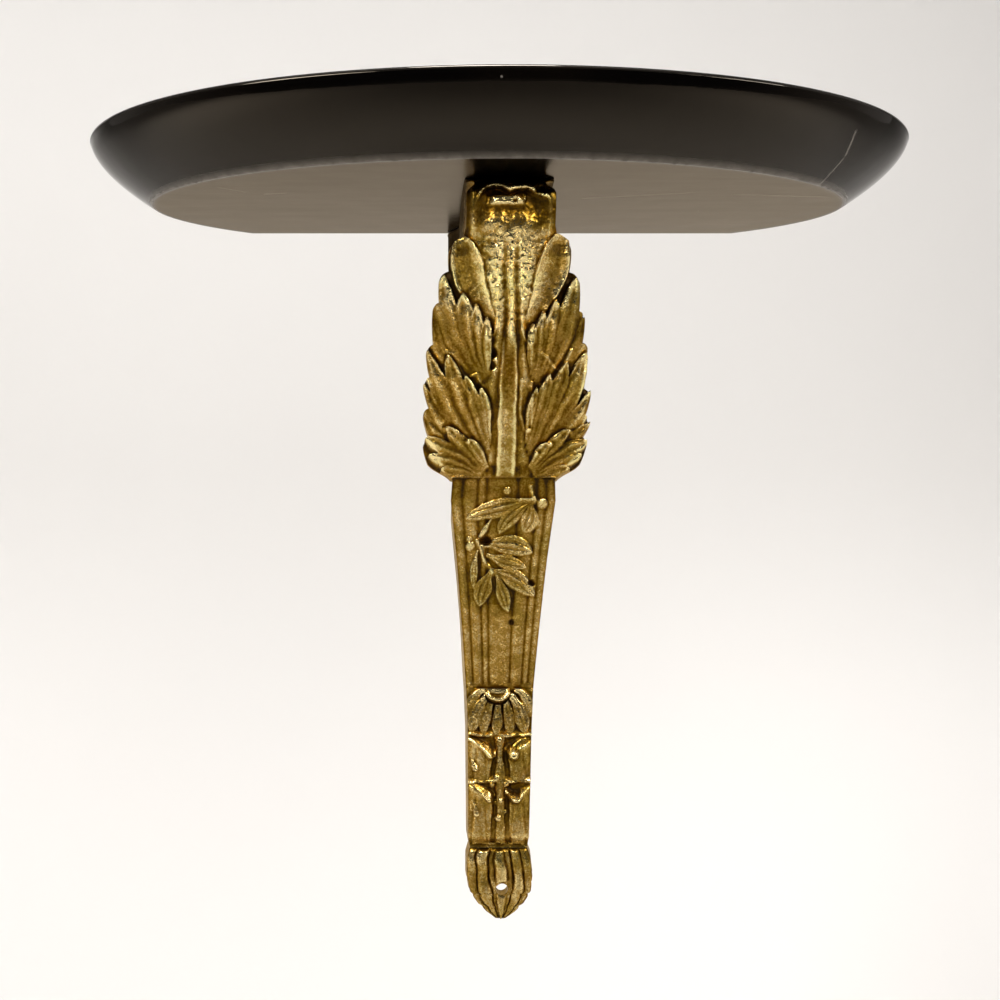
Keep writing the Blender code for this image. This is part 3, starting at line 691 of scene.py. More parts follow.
def sprig_relief(height, x, z):
    """Lay the laurel sprig over the stem."""
    bent_x = x + 0.2 * MM * value_noise(x, z, 3.0 * MM, 31)
    bent_z = z + 0.2 * MM * value_noise(x, z, 3.0 * MM, 32)
    for number, blade in enumerate(SPRIG_LEAVES):
        blade = (*blade[:6], blade[6] * SPRIG_SPREAD)
        here, along, across, width = leaf_blade(bent_x, bent_z, blade, 0.3, 0.5)
        inside = np.clip((1.0 - np.abs(across)) * width / (0.3 * MM), 0.0, 1.0)
        vein = 0.3 * MM * bell(across, 0.14) - 0.25 * MM * bell(np.abs(across) - 0.3, 0.14)
        lines = 0.10 * MM * np.cos(7.0 * math.pi * np.abs(across) + 3.0 * along)
        body = 0.74 + 0.26 * hump(across * 0.9, 1.0) + 0.10 * np.sin(7.0 * along + number)
        surface = SPRIG_RISE * MM * body * blend(0.75, 1.0, along) + vein + lines
        surface += 0.06 * MM * number
        height[here] = blend(height[here], np.maximum(surface, height[here] * 0.2), inside)
    height = add_lines(height, bent_x, bent_z, SPRIG_STALKS, 1.3 * MM, 0.75 * MM)
    height = add_domes(height, bent_x, bent_z, SPRIG_BERRIES, 0.7)
    return sink(height, bent_x, bent_z, CASTING_HOLES)


def ridge_across(height, x, z):
    """Wavy cross ridges between the tiers."""
    for place, rise, half in RIDGE_LINES:
        wave = 0.5 * MM * value_noise(x, np.zeros(z.shape), 3.0 * MM, int(-place))
        bar = bell(z - place * MM - wave, half * MM)
        swell = 0.8 + 0.35 * value_noise(x, z, 2.4 * MM, 7 + int(-place))
        height = np.maximum(height, rise * MM * bar * swell)
    return height


def petal_relief(height, x, z):
    """Lay the drooping petals under the bud."""
    for number, petal in enumerate(PETALS):
        here, along, across, width = leaf_blade(x, z, (*petal[:6], 1.08 * petal[6]), 0.6, 0.55)
        inside = np.clip((1.0 - np.abs(across)) * width / (0.6 * MM), 0.0, 1.0)
        lift = blend(1.5, 0.6, along) * MM + 0.05 * MM * number
        vein = 0.18 * MM * bell(across, 0.22)
        surface = lift + 0.30 * width * (1.0 - across**2) - vein
        laid = blend(height[here], np.maximum(surface, height[here]), inside)
        height[here] = np.where(inside > 0.0, laid, height[here])
    return height


def tier_relief(height, x, z):
    """The two tiers: on each side a full leaf that hangs from a thick folded edge."""
    for high, low, left_fold, right_fold in TIERS:
        for sign, fold in ((-1.0, left_fold), (1.0, right_fold)):
            points = metres(fold)
            edge = np.interp(x, points[:, 0], points[:, 1])
            below = edge - z
            side = sign * x
            zone = (z < high * MM) & (z > low * MM) & (side > 0.0)
            fall = np.exp(-np.clip(below, 0.0, None) / (10.0 * MM))
            swell = 0.25 + 0.75 * hump(side - 6.6 * MM, 5.8 * MM)
            face = (0.5 + 2.0 * fall) * MM * swell * smooth_step(below, -1.5 * MM, 1.2 * MM)
            thick = blend(1.1, 0.4, np.clip(side / (11.0 * MM), 0.0, 1.0))
            roll = 0.4 * thick * MM * bell(below - 1.3 * MM, 1.1 * MM)
            recess = 0.35 * MM * smooth_step(-below, 0.0, 1.5 * MM)
            crease = 0.55 * MM * bell(side - 8.4 * MM - 0.12 * below, 0.7 * MM)
            crease += 0.30 * MM * bell(side - 5.6 * MM + 0.06 * below, 0.5 * MM)
            crease *= smooth_step(below, 1.8 * MM, 5.0 * MM)
            round_off = 1.0 * MM * smooth_step(side, 9.0 * MM, 12.0 * MM)
            height = np.where(zone, recess + face + roll - crease - round_off, height)
    for roll in TIER_ROLLS:
        values = metres(roll)
        curve = curve_through(values[0:2], values[2:4], values[4:6])
        here = near(x, z, curve, 2.0 * values[6])
        distance, along = line_field(x[here], z[here], curve)[:2]
        radius = 1.5 * values[6] * blend(0.4, 1.0, along**1.4)
        height[here] += 1.1 * radius * hump(distance, radius) ** 1.2
    return height


def ornament_relief(x, share, z):
    """The bud with its petals, and below them the two tiers of hanging leaves on a knotted stem."""
    bent_x = x + 0.22 * MM * value_noise(x, z, 3.0 * MM, 41)
    bent_z = z + 0.22 * MM * value_noise(x, z, 3.0 * MM, 42)
    height = np.full(x.shape, 0.15 * MM)
    bud_away = np.hypot(bent_x - BUD[0] * MM, (bent_z - BUD[1] * MM) * 1.1)
    moat = bell(bud_away - 5.9 * MM, 0.8 * MM)
    height -= 1.0 * MM * moat
    arch = bell(bud_away - 7.4 * MM, 0.8 * MM) * smooth_step(bent_z, -190.0 * MM, -187.0 * MM)
    height += 1.2 * MM * arch
    height = petal_relief(height, bent_x, bent_z)
    cup = 2.2 * MM * hump(bud_away, BUD[2] * MM)
    smile = np.hypot((bent_x - BUD[0] * MM) * 0.92, bent_z - (BUD[1] + 2.6) * MM)
    crescent = bell(smile - 5.0 * MM, 0.9 * MM) * (bent_z < (BUD[1] + 0.6) * MM)
    cup += 1.2 * MM * crescent - 0.9 * MM * bell(smile - 3.1 * MM, 0.7 * MM) * (bent_z < BUD[1] * MM)
    height = np.where(bud_away < BUD[2] * MM, cup, height)
    height = tier_relief(height, bent_x, bent_z)
    stem = metres(TIER_STEM)
    middle = np.interp(-bent_z, -stem[:, 1], stem[:, 0])
    half = np.interp(-bent_z, -stem[:, 1], metres(TIER_STEM_WIDTHS))
    away = np.abs(bent_x - middle)
    on_stem = (bent_z < -205.4 * MM) & (bent_z > -248.5 * MM)
    gutter = 1.5 * MM * bell(away - half - 0.8 * MM, 0.9 * MM) * on_stem
    height = height - gutter
    height = np.where(on_stem & (away < half), 1.3 * MM * hump(away, half * 1.02) - 0.1 * MM, height)
    height = ridge_across(height, bent_x, bent_z)
    height = add_domes(height, bent_x, bent_z, TIER_KNOTS, 1.0)
    height -= 1.3 * MM * bell(z + 248.4 * MM, 2.0 * MM)
    return height + 0.07 * MM * value_noise(x, z, 1.0 * MM, 43)


def tab_relief(x, share, z):
    """Full flutes that run down the tab and close in on its tip."""
    height = np.full(x.shape, -1.45 * MM)
    wander = 0.05 * value_noise(x, z, 5.0 * MM, 52)
    top = smooth_step(-z, 250.4 * MM, 252.0 * MM)
    for number, (centre, half, rise) in enumerate(TAB_FLUTES):
        lower = smooth_step(-z, 262.0 * MM, 274.0 * MM)
        reach = half * blend(1.0, 1.15 if number % 2 else 0.8, lower)
        swell = rise * MM * blend(1.0, 0.7, lower) * (1.0 + 0.18 * np.sin(-z / (3.1 * MM) + 2.0 * number))
        height = np.maximum(height, swell * hump(share - centre - wander, reach) * top - 1.3 * MM)
    height += 0.9 * MM * bell(z + 256.0 * MM, 4.2 * MM)
    ring = np.hypot(x - 1.4 * MM, z + 267.6 * MM)
    height = blend(height, np.full(x.shape, -0.6 * MM), 0.9 * bell(ring, 3.3 * MM, 6))
    height += 0.08 * MM * value_noise(x, z, 1.2 * MM, 51)
    return height - 0.8 * MM * smooth_step(-z, 276.0 * MM, 281.0 * MM)


def gauss_blur(field, cells):
    """Blur a grid with a Gaussian of the given size in cells."""
    reach = max(1, int(3 * cells))
    offsets = np.arange(-reach, reach + 1)
    weights = np.exp(-0.5 * (offsets / cells) ** 2)
    weights /= weights.sum()
    padded = np.pad(field, reach, mode="edge")
    rows = sum(w * padded[o + reach : o + reach + field.shape[0], :] for o, w in zip(offsets, weights))
    return sum(w * rows[:, o + reach : o + reach + field.shape[1]] for o, w in zip(offsets, weights))


def patina_and_painted_light(x, z, relief, leaf, cell):
    """How dark each place of the carving is coloured: patina and painted shade in the hollows, polish and
    painted highlight where it stands out, with painted highlights, painted shade and lighter or darker tone
    set by region.
    """
    hollow = gauss_blur(relief, 1.0 * MM / cell) - relief
    deep = gauss_blur(relief, 3.0 * MM / cell) - relief
    # rubbed lightens the colour where it is positive and darkens it where negative; first a painted highlight
    # on the middle of the upper leaf, where a lamp's highlight falls
    rubbed = 0.32 * bell(x, 13.0 * MM, 4) * bell(z + 43.0 * MM, 13.0 * MM)
    # Darker colour on the head towards the board
    rubbed -= 0.12 * smooth_step(z, -27.0 * MM, -21.0 * MM)
    # Darker colour on the outer parts of the lower leaf
    outer = smooth_step(np.abs(x), 5.0 * MM, 12.0 * MM) * leaf[:, None]
    rubbed -= 0.09 * outer * smooth_step(-z, 46.0 * MM, 60.0 * MM)
    # A little darker on the lower stem, a little lighter on the bud and the upper tier
    ornament = blend(-0.04, 0.04, smooth_step(-z, 183.0 * MM, 190.0 * MM))
    rubbed += ornament * smooth_step(-z, 140.0 * MM, 160.0 * MM) * smooth_step(z, -226.0 * MM, -212.0 * MM)
    # The middle panel of the leaf is coloured lighter low down and darker higher up
    panel = bell(x - 0.5 * MM, 3.2 * MM, 4)
    rubbed += 0.14 * panel * smooth_step(-z, 78.0 * MM, 88.0 * MM) * smooth_step(z, -116.0 * MM, -104.0 * MM)
    rubbed -= 0.16 * panel * bell(z + 71.0 * MM, 7.0 * MM)
    # Painted shade in the recess at the top of the stem, under the foot of the leaf
    rubbed -= 0.12 * bell(z + 112.0 * MM, 4.5 * MM)
    # Darker in the hollows, as patina and painted shade, and lighter where the relief stands out, as polish
    # and painted highlight
    curved = 0.62 * np.maximum(hollow, 0.0) + 0.34 * np.minimum(hollow, 0.0)
    curved += 0.26 * np.maximum(deep, 0.0) + 0.10 * np.minimum(deep, 0.0)
    curved *= blend(0.72, 1.0, smooth_step(z, -114.0 * MM, -104.0 * MM))
    # Painted highlight on the pad under the head's brow
    rubbed += 0.30 * bell(x + 1.5 * MM, 6.0 * MM, 4) * bell(z + 19.6 * MM, 1.9 * MM, 4)
    # A darker band across the lower part of the head
    rubbed -= 0.10 * bell(z + 26.0 * MM, 3.5 * MM, 4)
    # A little darker on the petals
    rubbed -= 0.04 * bell(z + 197.0 * MM, 8.0 * MM, 4)
    # No place gets darker than this, and the head's hollows stay less dark than the rest
    deepest = blend(0.86, 0.68, smooth_step(z, -30.0 * MM, -23.0 * MM))
    return np.clip(0.37 + curved / MM - rubbed, 0.0, deepest)


def body_half_width(places, front_y, front_z):
    """Half width of the plain body, of the arm above it, and of the tab with its scalloped tip."""
    body = table_value(BODY_WIDTHS, front_z)
    flare = 1.0 - smooth_step(front_y, 0.0, 12.0 * MM)
    arm_width = blend(15.0 * MM, 19.3 * MM, flare)
    body = blend(body, arm_width, smooth_step(places, HEAD_ROW, ARM_FULL_ROW))
    corner = smooth_step(front_z, -18.0 * MM, -12.0 * MM)
    corner *= 1.0 - smooth_step(places, HEAD_ROW + 1.0, ARM_START_ROW)
    body -= 2.2 * MM * corner * (places > HEAD_ROW - 1.0)
    drop = front_z - TAB_TIP
    scallop = (1.0 - np.abs(np.sin(math.pi * drop / (5.4 * MM)))) ** 3
    scallop *= smooth_step(drop, 1.0 * MM, 3.0 * MM) * (1.0 - smooth_step(drop, 14.0 * MM, 17.0 * MM))
    body -= 0.9 * MM * scallop
    return body


def side_rows(sign, edge, body, draft, start, base, front, out, back):
    """Rows of points on one side of the casting, from the edge of the carved face round to the back."""

    def at(depth):
        """The distance from the wall and the height at a depth over the front."""
        return front[0] + out[0] * depth, front[1] + out[1] * depth

    rows = []
    for turn in (0.3, 0.6, 0.85, 1.0):
        swell = 0.25 * MM * math.sin(math.pi * turn)
        rows.append((sign * (edge + swell), *at(blend(start, base, turn))))
    inner, under = np.minimum(body, edge), at(base - 0.8 * MM)
    rows.append((sign * inner, *under))
    for step in (0.35, 0.7, 0.93):
        across = sign * (inner + (body + draft - inner) * step)
        rows.append((across, blend(under[0], back[0], step), blend(under[1], back[1], step)))
    rows.append((sign * (body + draft - 0.5 * MM), *back))
    return rows


def casting_rings(places, columns, settings):
    """Rings of points around the casting, carved in front and plain at the back, and how dark each is
    coloured, painted shade and painted highlight among it.
    """
    front_y, front_z, back_y, back_z = side_points(places).T
    front_y, back_y = np.maximum(front_y, 0.0), np.maximum(back_y, 0.0)
    reach = np.hypot(front_y - back_y, front_z - back_z)
    out_y, out_z = -(front_y - back_y) / reach, (front_z - back_z) / reach
    body = body_half_width(places, front_y, front_z)
    leaf = smooth_step(front_z, LEAF_FOOT - 0.8 * MM, LEAF_FOOT + 0.8 * MM)
    leaf *= 1.0 - smooth_step(front_z, LEAF_TOP - 0.8 * MM, LEAF_TOP + 3.0 * MM)
    arm = places > ARM_START_ROW
    head = np.where(arm, 0.0, smooth_step(front_z, LEAF_TOP - 7.0 * MM, LEAF_TOP - 1.5 * MM))
    head_lift = head * (1.0 - smooth_step(front_z, -18.0 * MM, -12.0 * MM))
    leaf_lift = leaf * smooth_step(front_z, LEAF_FOOT - 3.0 * MM, LEAF_FOOT + 8.0 * MM)
    lift = 2.6 * MM * np.maximum(leaf_lift, head_lift)
    leaf_bend, head_bend = 8.0 * MM * leaf, 2.0 * MM * head
    draft = 0.8 * MM * (1.0 - smooth_step(front_z, -190.0 * MM, -150.0 * MM))
    centre = settings.offset + 1.4 * MM * (1.0 - smooth_step(front_z, TAB_TIP, TAB_RIDGE_CENTRE))
    left = blend(body, leaf_half_width(front_z, LEFT_TEETH), leaf)
    right = blend(body, leaf_half_width(front_z, RIGHT_TEETH), leaf)
    share = np.linspace(-1.0, 1.0, columns)[None, :]
    rows = int(7.0 * MM / settings.grid)
    wide_left = blend(left, smooth_envelope(left, rows), leaf)
    wide_right = blend(right, smooth_envelope(right, rows), leaf)
    x = np.where(
        share < 0.0,
        np.maximum(share * wide_left[:, None], -left[:, None]),
        np.minimum(share * wide_right[:, None], right[:, None]),
    )
    z = np.repeat(front_z[:, None], columns, axis=1)
    shares = np.where(x < 0.0, x / left[:, None], x / right[:, None])
    relief = np.zeros(x.shape)
    # Every carving is given the same three fields: place across, share of the half width, and height
    zones = (
        (front_z < NECK, tab_relief),
        ((front_z >= NECK) & (front_z < STEM_FOOT), ornament_relief),
        ((front_z >= STEM_FOOT) & (front_z < LEAF_FOOT), stem_relief),
        ((front_z >= LEAF_FOOT) & (front_z < LEAF_TOP + 3.0 * MM) & ~arm, leaf_relief),
    )
    for zone, carve in zones:
        if zone.any():
            relief[zone] = carve(x[zone] - settings.shift, shares[zone], z[zone])
    upper = (front_z >= LEAF_TOP - 3.0 * MM) & ~arm
    if upper.any():
        turn = smooth_step(z[upper], LEAF_TOP - 2.8 * MM, LEAF_TOP + 2.8 * MM)
        relief[upper] = blend(relief[upper], head_relief(x[upper] - settings.shift, z[upper]), turn)
    relief *= settings.depth
    spread = leaf_bend[:, None] * (x / (29.0 * MM)) ** 2 + head_bend[:, None] * shares**2
    away = lift[:, None] + relief - spread
    shade = patina_and_painted_light(x, z, relief, leaf, settings.grid)
    points = np.empty((len(places), columns, 3))
    points[..., 0] = centre[:, None] + x
    points[..., 1] = -front_y[:, None] + out_y[:, None] * away
    points[..., 2] = front_z[:, None] + out_z[:, None] * away
    thickness = blend(1.2 * MM, 3.0 * MM, leaf)
    front, out, back = (-front_y, front_z), (out_y, out_z), (-back_y, back_z)
    sides = []
    for sign, edge, last in ((1.0, right, -1), (-1.0, left, 0)):
        base = lift - spread[:, last] - thickness
        sides.append(side_rows(sign, edge, body, draft, away[:, last], base, front, out, back))
    middle = [(part * body, *back) for part in (0.5, 0.0, -0.5)]
    around = sides[0] + middle + sides[1][::-1]
    ring = np.empty((len(places), columns + len(around), 3))
    ring[:, :columns] = points
    for index, (px, py, pz) in enumerate(around):
        ring[:, columns + index] = np.stack([centre + px, py, pz], axis=1)
    ring[..., 1] = np.minimum(ring[..., 1], 0.0)
    ring[..., 2] = np.minimum(ring[..., 2], BRACKET_TOP)
    shades = np.full(ring.shape[:2], 0.50)
    shades[:, :columns] = shade
    # Painted shade: the arm under the board is coloured nearly as dark as the deepest hollows
    shaded_under_board = smooth_step(places, HEAD_ROW + 0.6, ARM_START_ROW + 0.4)[:, None]
    shades = blend(shades, 0.95, shaded_under_board)
    return ring, shades


def add_object(name, data):
    """Put a new object into the scene."""
    item = bpy.data.objects.new(name, data)
    bpy.context.scene.collection.objects.link(item)
    return item


def store(mesh, name, values):
    """Store one number for each point of a mesh."""
    layer = mesh.attributes.new(name, "FLOAT", "POINT")
    layer.data.foreach_set("value", np.asarray(values, np.float32).ravel())


def vertex_places(mesh):
    """The x, y and z of every point of a mesh."""
    spots = np.empty(3 * len(mesh.vertices))
    mesh.vertices.foreach_get("co", spots)
    return spots.reshape(-1, 3).T


def mesh_from_rings(name, ring, shades):
    """A closed mesh from rings of points, capped at both ends, with how dark each point is coloured stored as
    an attribute, painted shade and painted highlight among it.
    """
    rows, around = ring.shape[:2]
    index = np.arange(rows * around).reshape(rows, around)
    first, second = index[:-1], index[1:]
    quads = np.stack([first, np.roll(first, -1, 1), np.roll(second, -1, 1), second], axis=-1).reshape(-1, 4)
    caps = [index[0][::-1], index[-1]]
    mesh = bpy.data.meshes.new(name)
    mesh.from_pydata(ring.reshape(-1, 3).tolist(), [], quads.tolist() + [cap.tolist() for cap in caps])
    # The hollow attribute holds patina and painted shade in the hollows, polish and painted highlight on the
    # high places
    store(mesh, "hollow", shades)
    return add_object(name, mesh)


def weld_and_face_out(item):
    """Merge doubled points and turn every face outwards."""
    bm = bmesh.new()
    bm.from_mesh(item.data)
    bmesh.ops.remove_doubles(bm, verts=bm.verts, dist=0.002 * MM)
    bmesh.ops.dissolve_degenerate(bm, edges=bm.edges, dist=0.001 * MM)
    bmesh.ops.recalc_face_normals(bm, faces=bm.faces)
    bm.to_mesh(item.data)
    bm.free()


def finish_piece(item, material, degrees, node):
    """Shade a finished piece, give it its material and hang it on the frame."""
    item.data.materials.clear()
    item.data.materials.append(material)
    item.data.shade_smooth()
    item.data.set_sharp_from_angle(angle=math.radians(degrees))
    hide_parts(node)
    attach(item, "root")


def finish_brass(context, item, degrees):
    """Finish one piece of the casting in the one brass material, and let the low light reach it."""
    material = bpy.data.materials.get("aged_brass") or brass_material(context.scene.shelf_brass)
    finish_piece(item, material, degrees, "brass_bracket")
    bpy.data.collections["brass_only"].objects.link(item)


class Field:
    """A number that varies over a surface: arithmetic on it adds Math nodes."""

    def __init__(self, paint, socket):
        self.paint = paint
        self.socket = socket

    def __add__(self, other):
        return self.paint.math("ADD", self, other)

    __radd__ = __add__

    def __sub__(self, other):
        return self.paint.math("SUBTRACT", self, other)

    def __rsub__(self, other):
        return self.paint.math("SUBTRACT", other, self)

    def __mul__(self, other):
        return self.paint.math("MULTIPLY", self, other)

    __rmul__ = __mul__

    def __truediv__(self, other):
        return self.paint.math("DIVIDE", self, other)

    def __rtruediv__(self, other):
        return self.paint.math("DIVIDE", other, self)

    def __abs__(self):
        return self.paint.math("ABSOLUTE", self)

    def clamped(self):
        """Keep it between 0 and 1."""
        return self.paint.math("ADD", self, 0.0, clamp=True)

    def rising(self, low, high):
        """0 below low, 1 above high, smooth between."""
        node = self.paint.node(
            "ShaderNodeMapRange",
            {"interpolation_type": "SMOOTHSTEP"},
            {"Value": self, "From Min": low, "From Max": high},
        )
        return Field(self.paint, node.outputs["Result"])


class Paint:
    """The node tree of a material, or of the world."""

    def __init__(self, owner, shader="Principled BSDF", coordinates="Object"):
        owner.use_nodes = True
        self.owner = owner
        self.tree = owner.node_tree
        self.shader = self.tree.nodes[shader]
        self.place = self.node("ShaderNodeTexCoord").outputs[coordinates]

    def node(self, kind, settings=None, inputs=None):
        """Add a node: its settings first, a ramp's stops among them, then its inputs as values or links."""
        node = self.tree.nodes.new(kind)
        for key, value in (settings or {}).items():
            if key == "stops":
                ramp = node.color_ramp
                while len(ramp.elements) < len(value):
                    ramp.elements.new(0.5)
                for element, (position, colour) in zip(ramp.elements, value):
                    element.position = position
                    element.color = (*colour, 1.0)
            else:
                setattr(node, key, value)
        for key, value in (inputs or {}).items():
            self.feed(node.inputs[key], value)
        return node

    def feed(self, target, value):
        """Set an input, or link a field or socket to it."""
        if isinstance(value, Field):
            self.tree.links.new(value.socket, target)
        elif isinstance(value, bpy.types.NodeSocket):
            self.tree.links.new(value, target)
        elif target.type == "RGBA":
            target.default_value = (*value, 1.0)
        else:
            target.default_value = value

    def shade(self, inputs):
        """Feed the shader's own sockets."""
        for name, value in inputs.items():
            self.feed(self.shader.inputs[name], value)

    def math(self, operation, *values, clamp=False):
        """One Math node."""
        node = self.node(
            "ShaderNodeMath",
            {"operation": operation, "use_clamp": clamp},
            dict(enumerate(values)),
        )
        return Field(self, node.outputs[0])

    def noise(self, scale, detail=2.0, roughness=0.5, stretch=None):
        """Noise on the object's own coordinates."""
        place = self.place
        if stretch is not None:
            mapping = self.node("ShaderNodeMapping", None, {"Vector": place, "Scale": stretch})
            place = mapping.outputs["Vector"]
        node = self.node(
            "ShaderNodeTexNoise",
            None,
            {"Vector": place, "Scale": scale, "Detail": detail, "Roughness": roughness},
        )
        return Field(self, node.outputs["Fac"])

    def cells(self, scale):
        """Distance to scattered points."""
        node = self.node("ShaderNodeTexVoronoi", None, {"Vector": self.place, "Scale": scale})
        return Field(self, node.outputs["Distance"])

    def attribute(self, name):
        """A number stored on the mesh."""
        node = self.node("ShaderNodeAttribute", {"attribute_name": name})
        return Field(self, node.outputs["Fac"])

    def axis(self, letter):
        """One of the object's own coordinates, in metres."""
        node = self.node("ShaderNodeSeparateXYZ", None, {"Vector": self.place})
        return Field(self, node.outputs[letter])

    def ramp(self, value, stops):
        """Colours by value."""
        node = self.node("ShaderNodeValToRGB", {"stops": stops}, {"Fac": value})
        return node.outputs["Color"]

    def mix(self, share, first, second, blend_type="MIX"):
        """Mix two colours."""
        node = self.node(
            "ShaderNodeMix",
            {"data_type": "RGBA", "blend_type": blend_type},
            {"Factor": share},
        )
        self.feed(node.inputs[6], first)
        self.feed(node.inputs[7], second)
        return node.outputs[2]

    def bump(self, height, strength, distance, below=None):
        """Bump from a height field."""
        inputs = {"Height": height, "Strength": strength, "Distance": distance}
        if below is not None:
            inputs["Normal"] = below
        return self.node("ShaderNodeBump", None, inputs).outputs["Normal"]

    def segment(self, start, end, half_width):
        """A thin soft line between two points of the flat underside, seen from below."""
        ax, ay = start
        bx, by = end
        length = math.hypot(bx - ax, by - ay)
        ux, uy = (bx - ax) / length, (by - ay) / length
        x, y = self.axis("X") - ax, self.axis("Y") - ay
        along = (x * ux + y * uy) / length
        off = abs(x * uy - y * ux)
        inside = along.rising(0.0, 0.12) * (1.0 - along.rising(0.85, 1.0))
        return inside * (1.0 - off.rising(0.0, half_width))


def brass_material(settings):
    """Aged cast brass: polished on the high places and where a highlight is painted, olive brown and near
    black in the hollows as patina and painted shade, with a cast grain.
    """
    paint = Paint(bpy.data.materials.new("aged_brass"))
    # The stored darkness: patina and painted shade in the hollows, polish and painted highlight on the high
    # places
    hollow = paint.attribute("hollow")
    cloud = paint.noise(75.0, 3.0, 0.6).rising(0.34, 0.66)
    patch = paint.noise(380.0, 3.0, 0.6).rising(0.30, 0.70)
    grain = paint.noise(1500.0, 2.0, 0.6).rising(0.32, 0.68)
    pits = 1.0 - paint.cells(620.0).rising(0.10, 0.30)
    stain = (cloud - 0.5) * 0.16 + (patch - 0.5) * 0.12 + (grain - 0.5) * 0.15 + pits * 0.03
    grime_and_shade = (hollow * 1.15 + stain - 0.05).clamped()
    # The polished stop also serves as painted highlight, the olive and darkest stops also as painted shade
    colour = paint.ramp(
        grime_and_shade,
        (
            (0.05, tuple(settings.polished)),
            (0.36, tuple(settings.body)),
            (0.62, tuple(settings.olive)),
            (0.92, tuple(settings.grime_and_shade)),
        ),
    )
    tint = paint.mix((cloud - 0.35).clamped(), (1.0, 0.93, 0.80), (0.93, 1.0, 0.78))
    colour = paint.mix(1.0, colour, tint, "MULTIPLY")
    metal = 1.0 - grime_and_shade.rising(0.6, 1.0) * 0.20
    rough = settings.roughness + grime_and_shade * 0.20 + grime_and_shade.rising(0.75, 1.0) * 0.25 + (grain - 0.5) * 0.06
    fine = paint.bump(grain - pits * 0.2, 0.7, 0.050 * MM)
    coarse = paint.bump(patch, 0.6, 0.07 * MM, fine)
    paint.shade({"Base Color": colour, "Metallic": metal, "Roughness": rough.clamped(), "Normal": coarse})
    paint.shade({"Specular Tint": (1.0, 0.86, 0.60)})
    return paint.owner


def lacquer_material(settings):
    """Old black lacquer under a clear gloss, with a pale worn arris, faint scratches and dust."""
    paint = Paint(bpy.data.materials.new("gloss_lacquer"))
    worn = paint.attribute("worn")
    under = paint.attribute("under")
    cloud = paint.noise(14.0, 3.0, 0.55)
    smear = paint.noise(30.0, 3.0, 0.6, (1.0, 6.0, 6.0))
    fine = paint.noise(900.0, 2.0, 0.5)
    chips = paint.noise(260.0, 3.0, 0.6)
    dust = 1.0 - paint.cells(70.0).rising(0.015, 0.045)
    dust = dust * cloud.rising(0.5, 0.62)
    edge = (worn * (0.55 + 0.9 * (chips - 0.25))).clamped()
    lines = sum(paint.segment(*scratch) for scratch in SCRATCHES)
    marks = (lines * 0.35 + dust * 0.7).clamped()
    colour = paint.mix(cloud.rising(0.35, 0.75), settings.black, settings.brown)
    colour = paint.mix(under, colour, settings.faded)
    colour = paint.mix(edge, colour, settings.arris)
    colour = paint.mix(marks, colour, (0.42, 0.38, 0.33))
    rough = settings.roughness + smear * 0.07 + under * 0.15 + edge * 0.3 + marks * 0.25
    wave = paint.bump(cloud, 0.35, 1.6 * MM)
    skin = paint.bump(smear + fine * 0.06, 0.3, 0.12 * MM, wave)
    metal = under * 0.55
    paint.shade({"Base Color": colour, "Metallic": metal, "Roughness": rough.clamped(), "Normal": skin})
    paint.shade({"Specular Tint": (0.93, 0.78, 0.58), "IOR": 1.38})
    return paint.owner


class BoardSettings(bpy.types.PropertyGroup):
    """Sizes of the board."""

    half_width: FloatProperty(
        name="Half width", description="Half the board's width along the wall", default=0.145, unit="LENGTH"
    )
    front_radius: FloatProperty(
        name="Front radius", description="Short radius of the ellipse", default=0.0824, unit="LENGTH"
    )
    centre: FloatProperty(
        name="Centre from wall", description="Distance of the ellipse's centre from the wall", default=0.0386,
        unit="LENGTH",
    )
    thickness: FloatProperty(
        name="Thickness", description="Height of the board", default=0.0214, unit="LENGTH"
    )
    lip: FloatProperty(name="Lip", description="Rounding of the upper rim", default=0.0014, unit="LENGTH")
    belly_run: FloatProperty(
        name="Belly run", description="How far the belly runs in under the board", default=0.021,
        unit="LENGTH",
    )
    belly_turn: FloatProperty(
        name="Belly turn", description="Depth at which the belly turns in", default=0.0083, unit="LENGTH"
    )
    columns: IntProperty(name="Columns", description="Steps along the rim", default=300, min=32)


class BracketSettings(bpy.types.PropertyGroup):
    """Place and fineness of the bracket's carving."""

    offset: FloatProperty(
        name="Offset", description="How far right of the board's middle the bracket stands", default=0.0021,
        unit="LENGTH",
    )
    shift: FloatProperty(
        name="Carving shift", description="Sideways shift of the carving on the body", default=0.0,
        unit="LENGTH",
    )
    depth: FloatProperty(
        name="Carving depth", description="Share of the full depth of the carving", default=1.0,
        min=0.2, max=1.5,
    )
    grid: FloatProperty(
        name="Grid", description="Distance between the points that carry the carving", default=0.00031,
        unit="LENGTH",
    )


class BrassSettings(bpy.types.PropertyGroup):
    """Colours of the aged brass."""

    # The polished colour also serves as painted highlight, and the olive and darkest colours also as painted
    # shade in the hollows
    polished: FloatVectorProperty(
        name="Polished", description="Colour of the rubbed high places", subtype="COLOR", size=3,
        default=(0.82, 0.71, 0.38), min=0.0, max=1.0,
    )
    body: FloatVectorProperty(
        name="Body", description="Colour of the plain metal", subtype="COLOR", size=3,
        default=(0.335, 0.210, 0.045), min=0.0, max=1.0,
    )
    olive: FloatVectorProperty(
        name="Olive", description="Colour where the metal has darkened", subtype="COLOR", size=3,
        default=(0.130, 0.066, 0.0040), min=0.0, max=1.0,
    )
    grime_and_shade: FloatVectorProperty(
        name="Grime", description="Colour of the deep hollows", subtype="COLOR", size=3,
        default=(0.030, 0.014, 0.002), min=0.0, max=1.0,
    )
    roughness: FloatProperty(
        name="Roughness", description="Roughness of the rubbed metal", default=0.22, min=0.0
    )


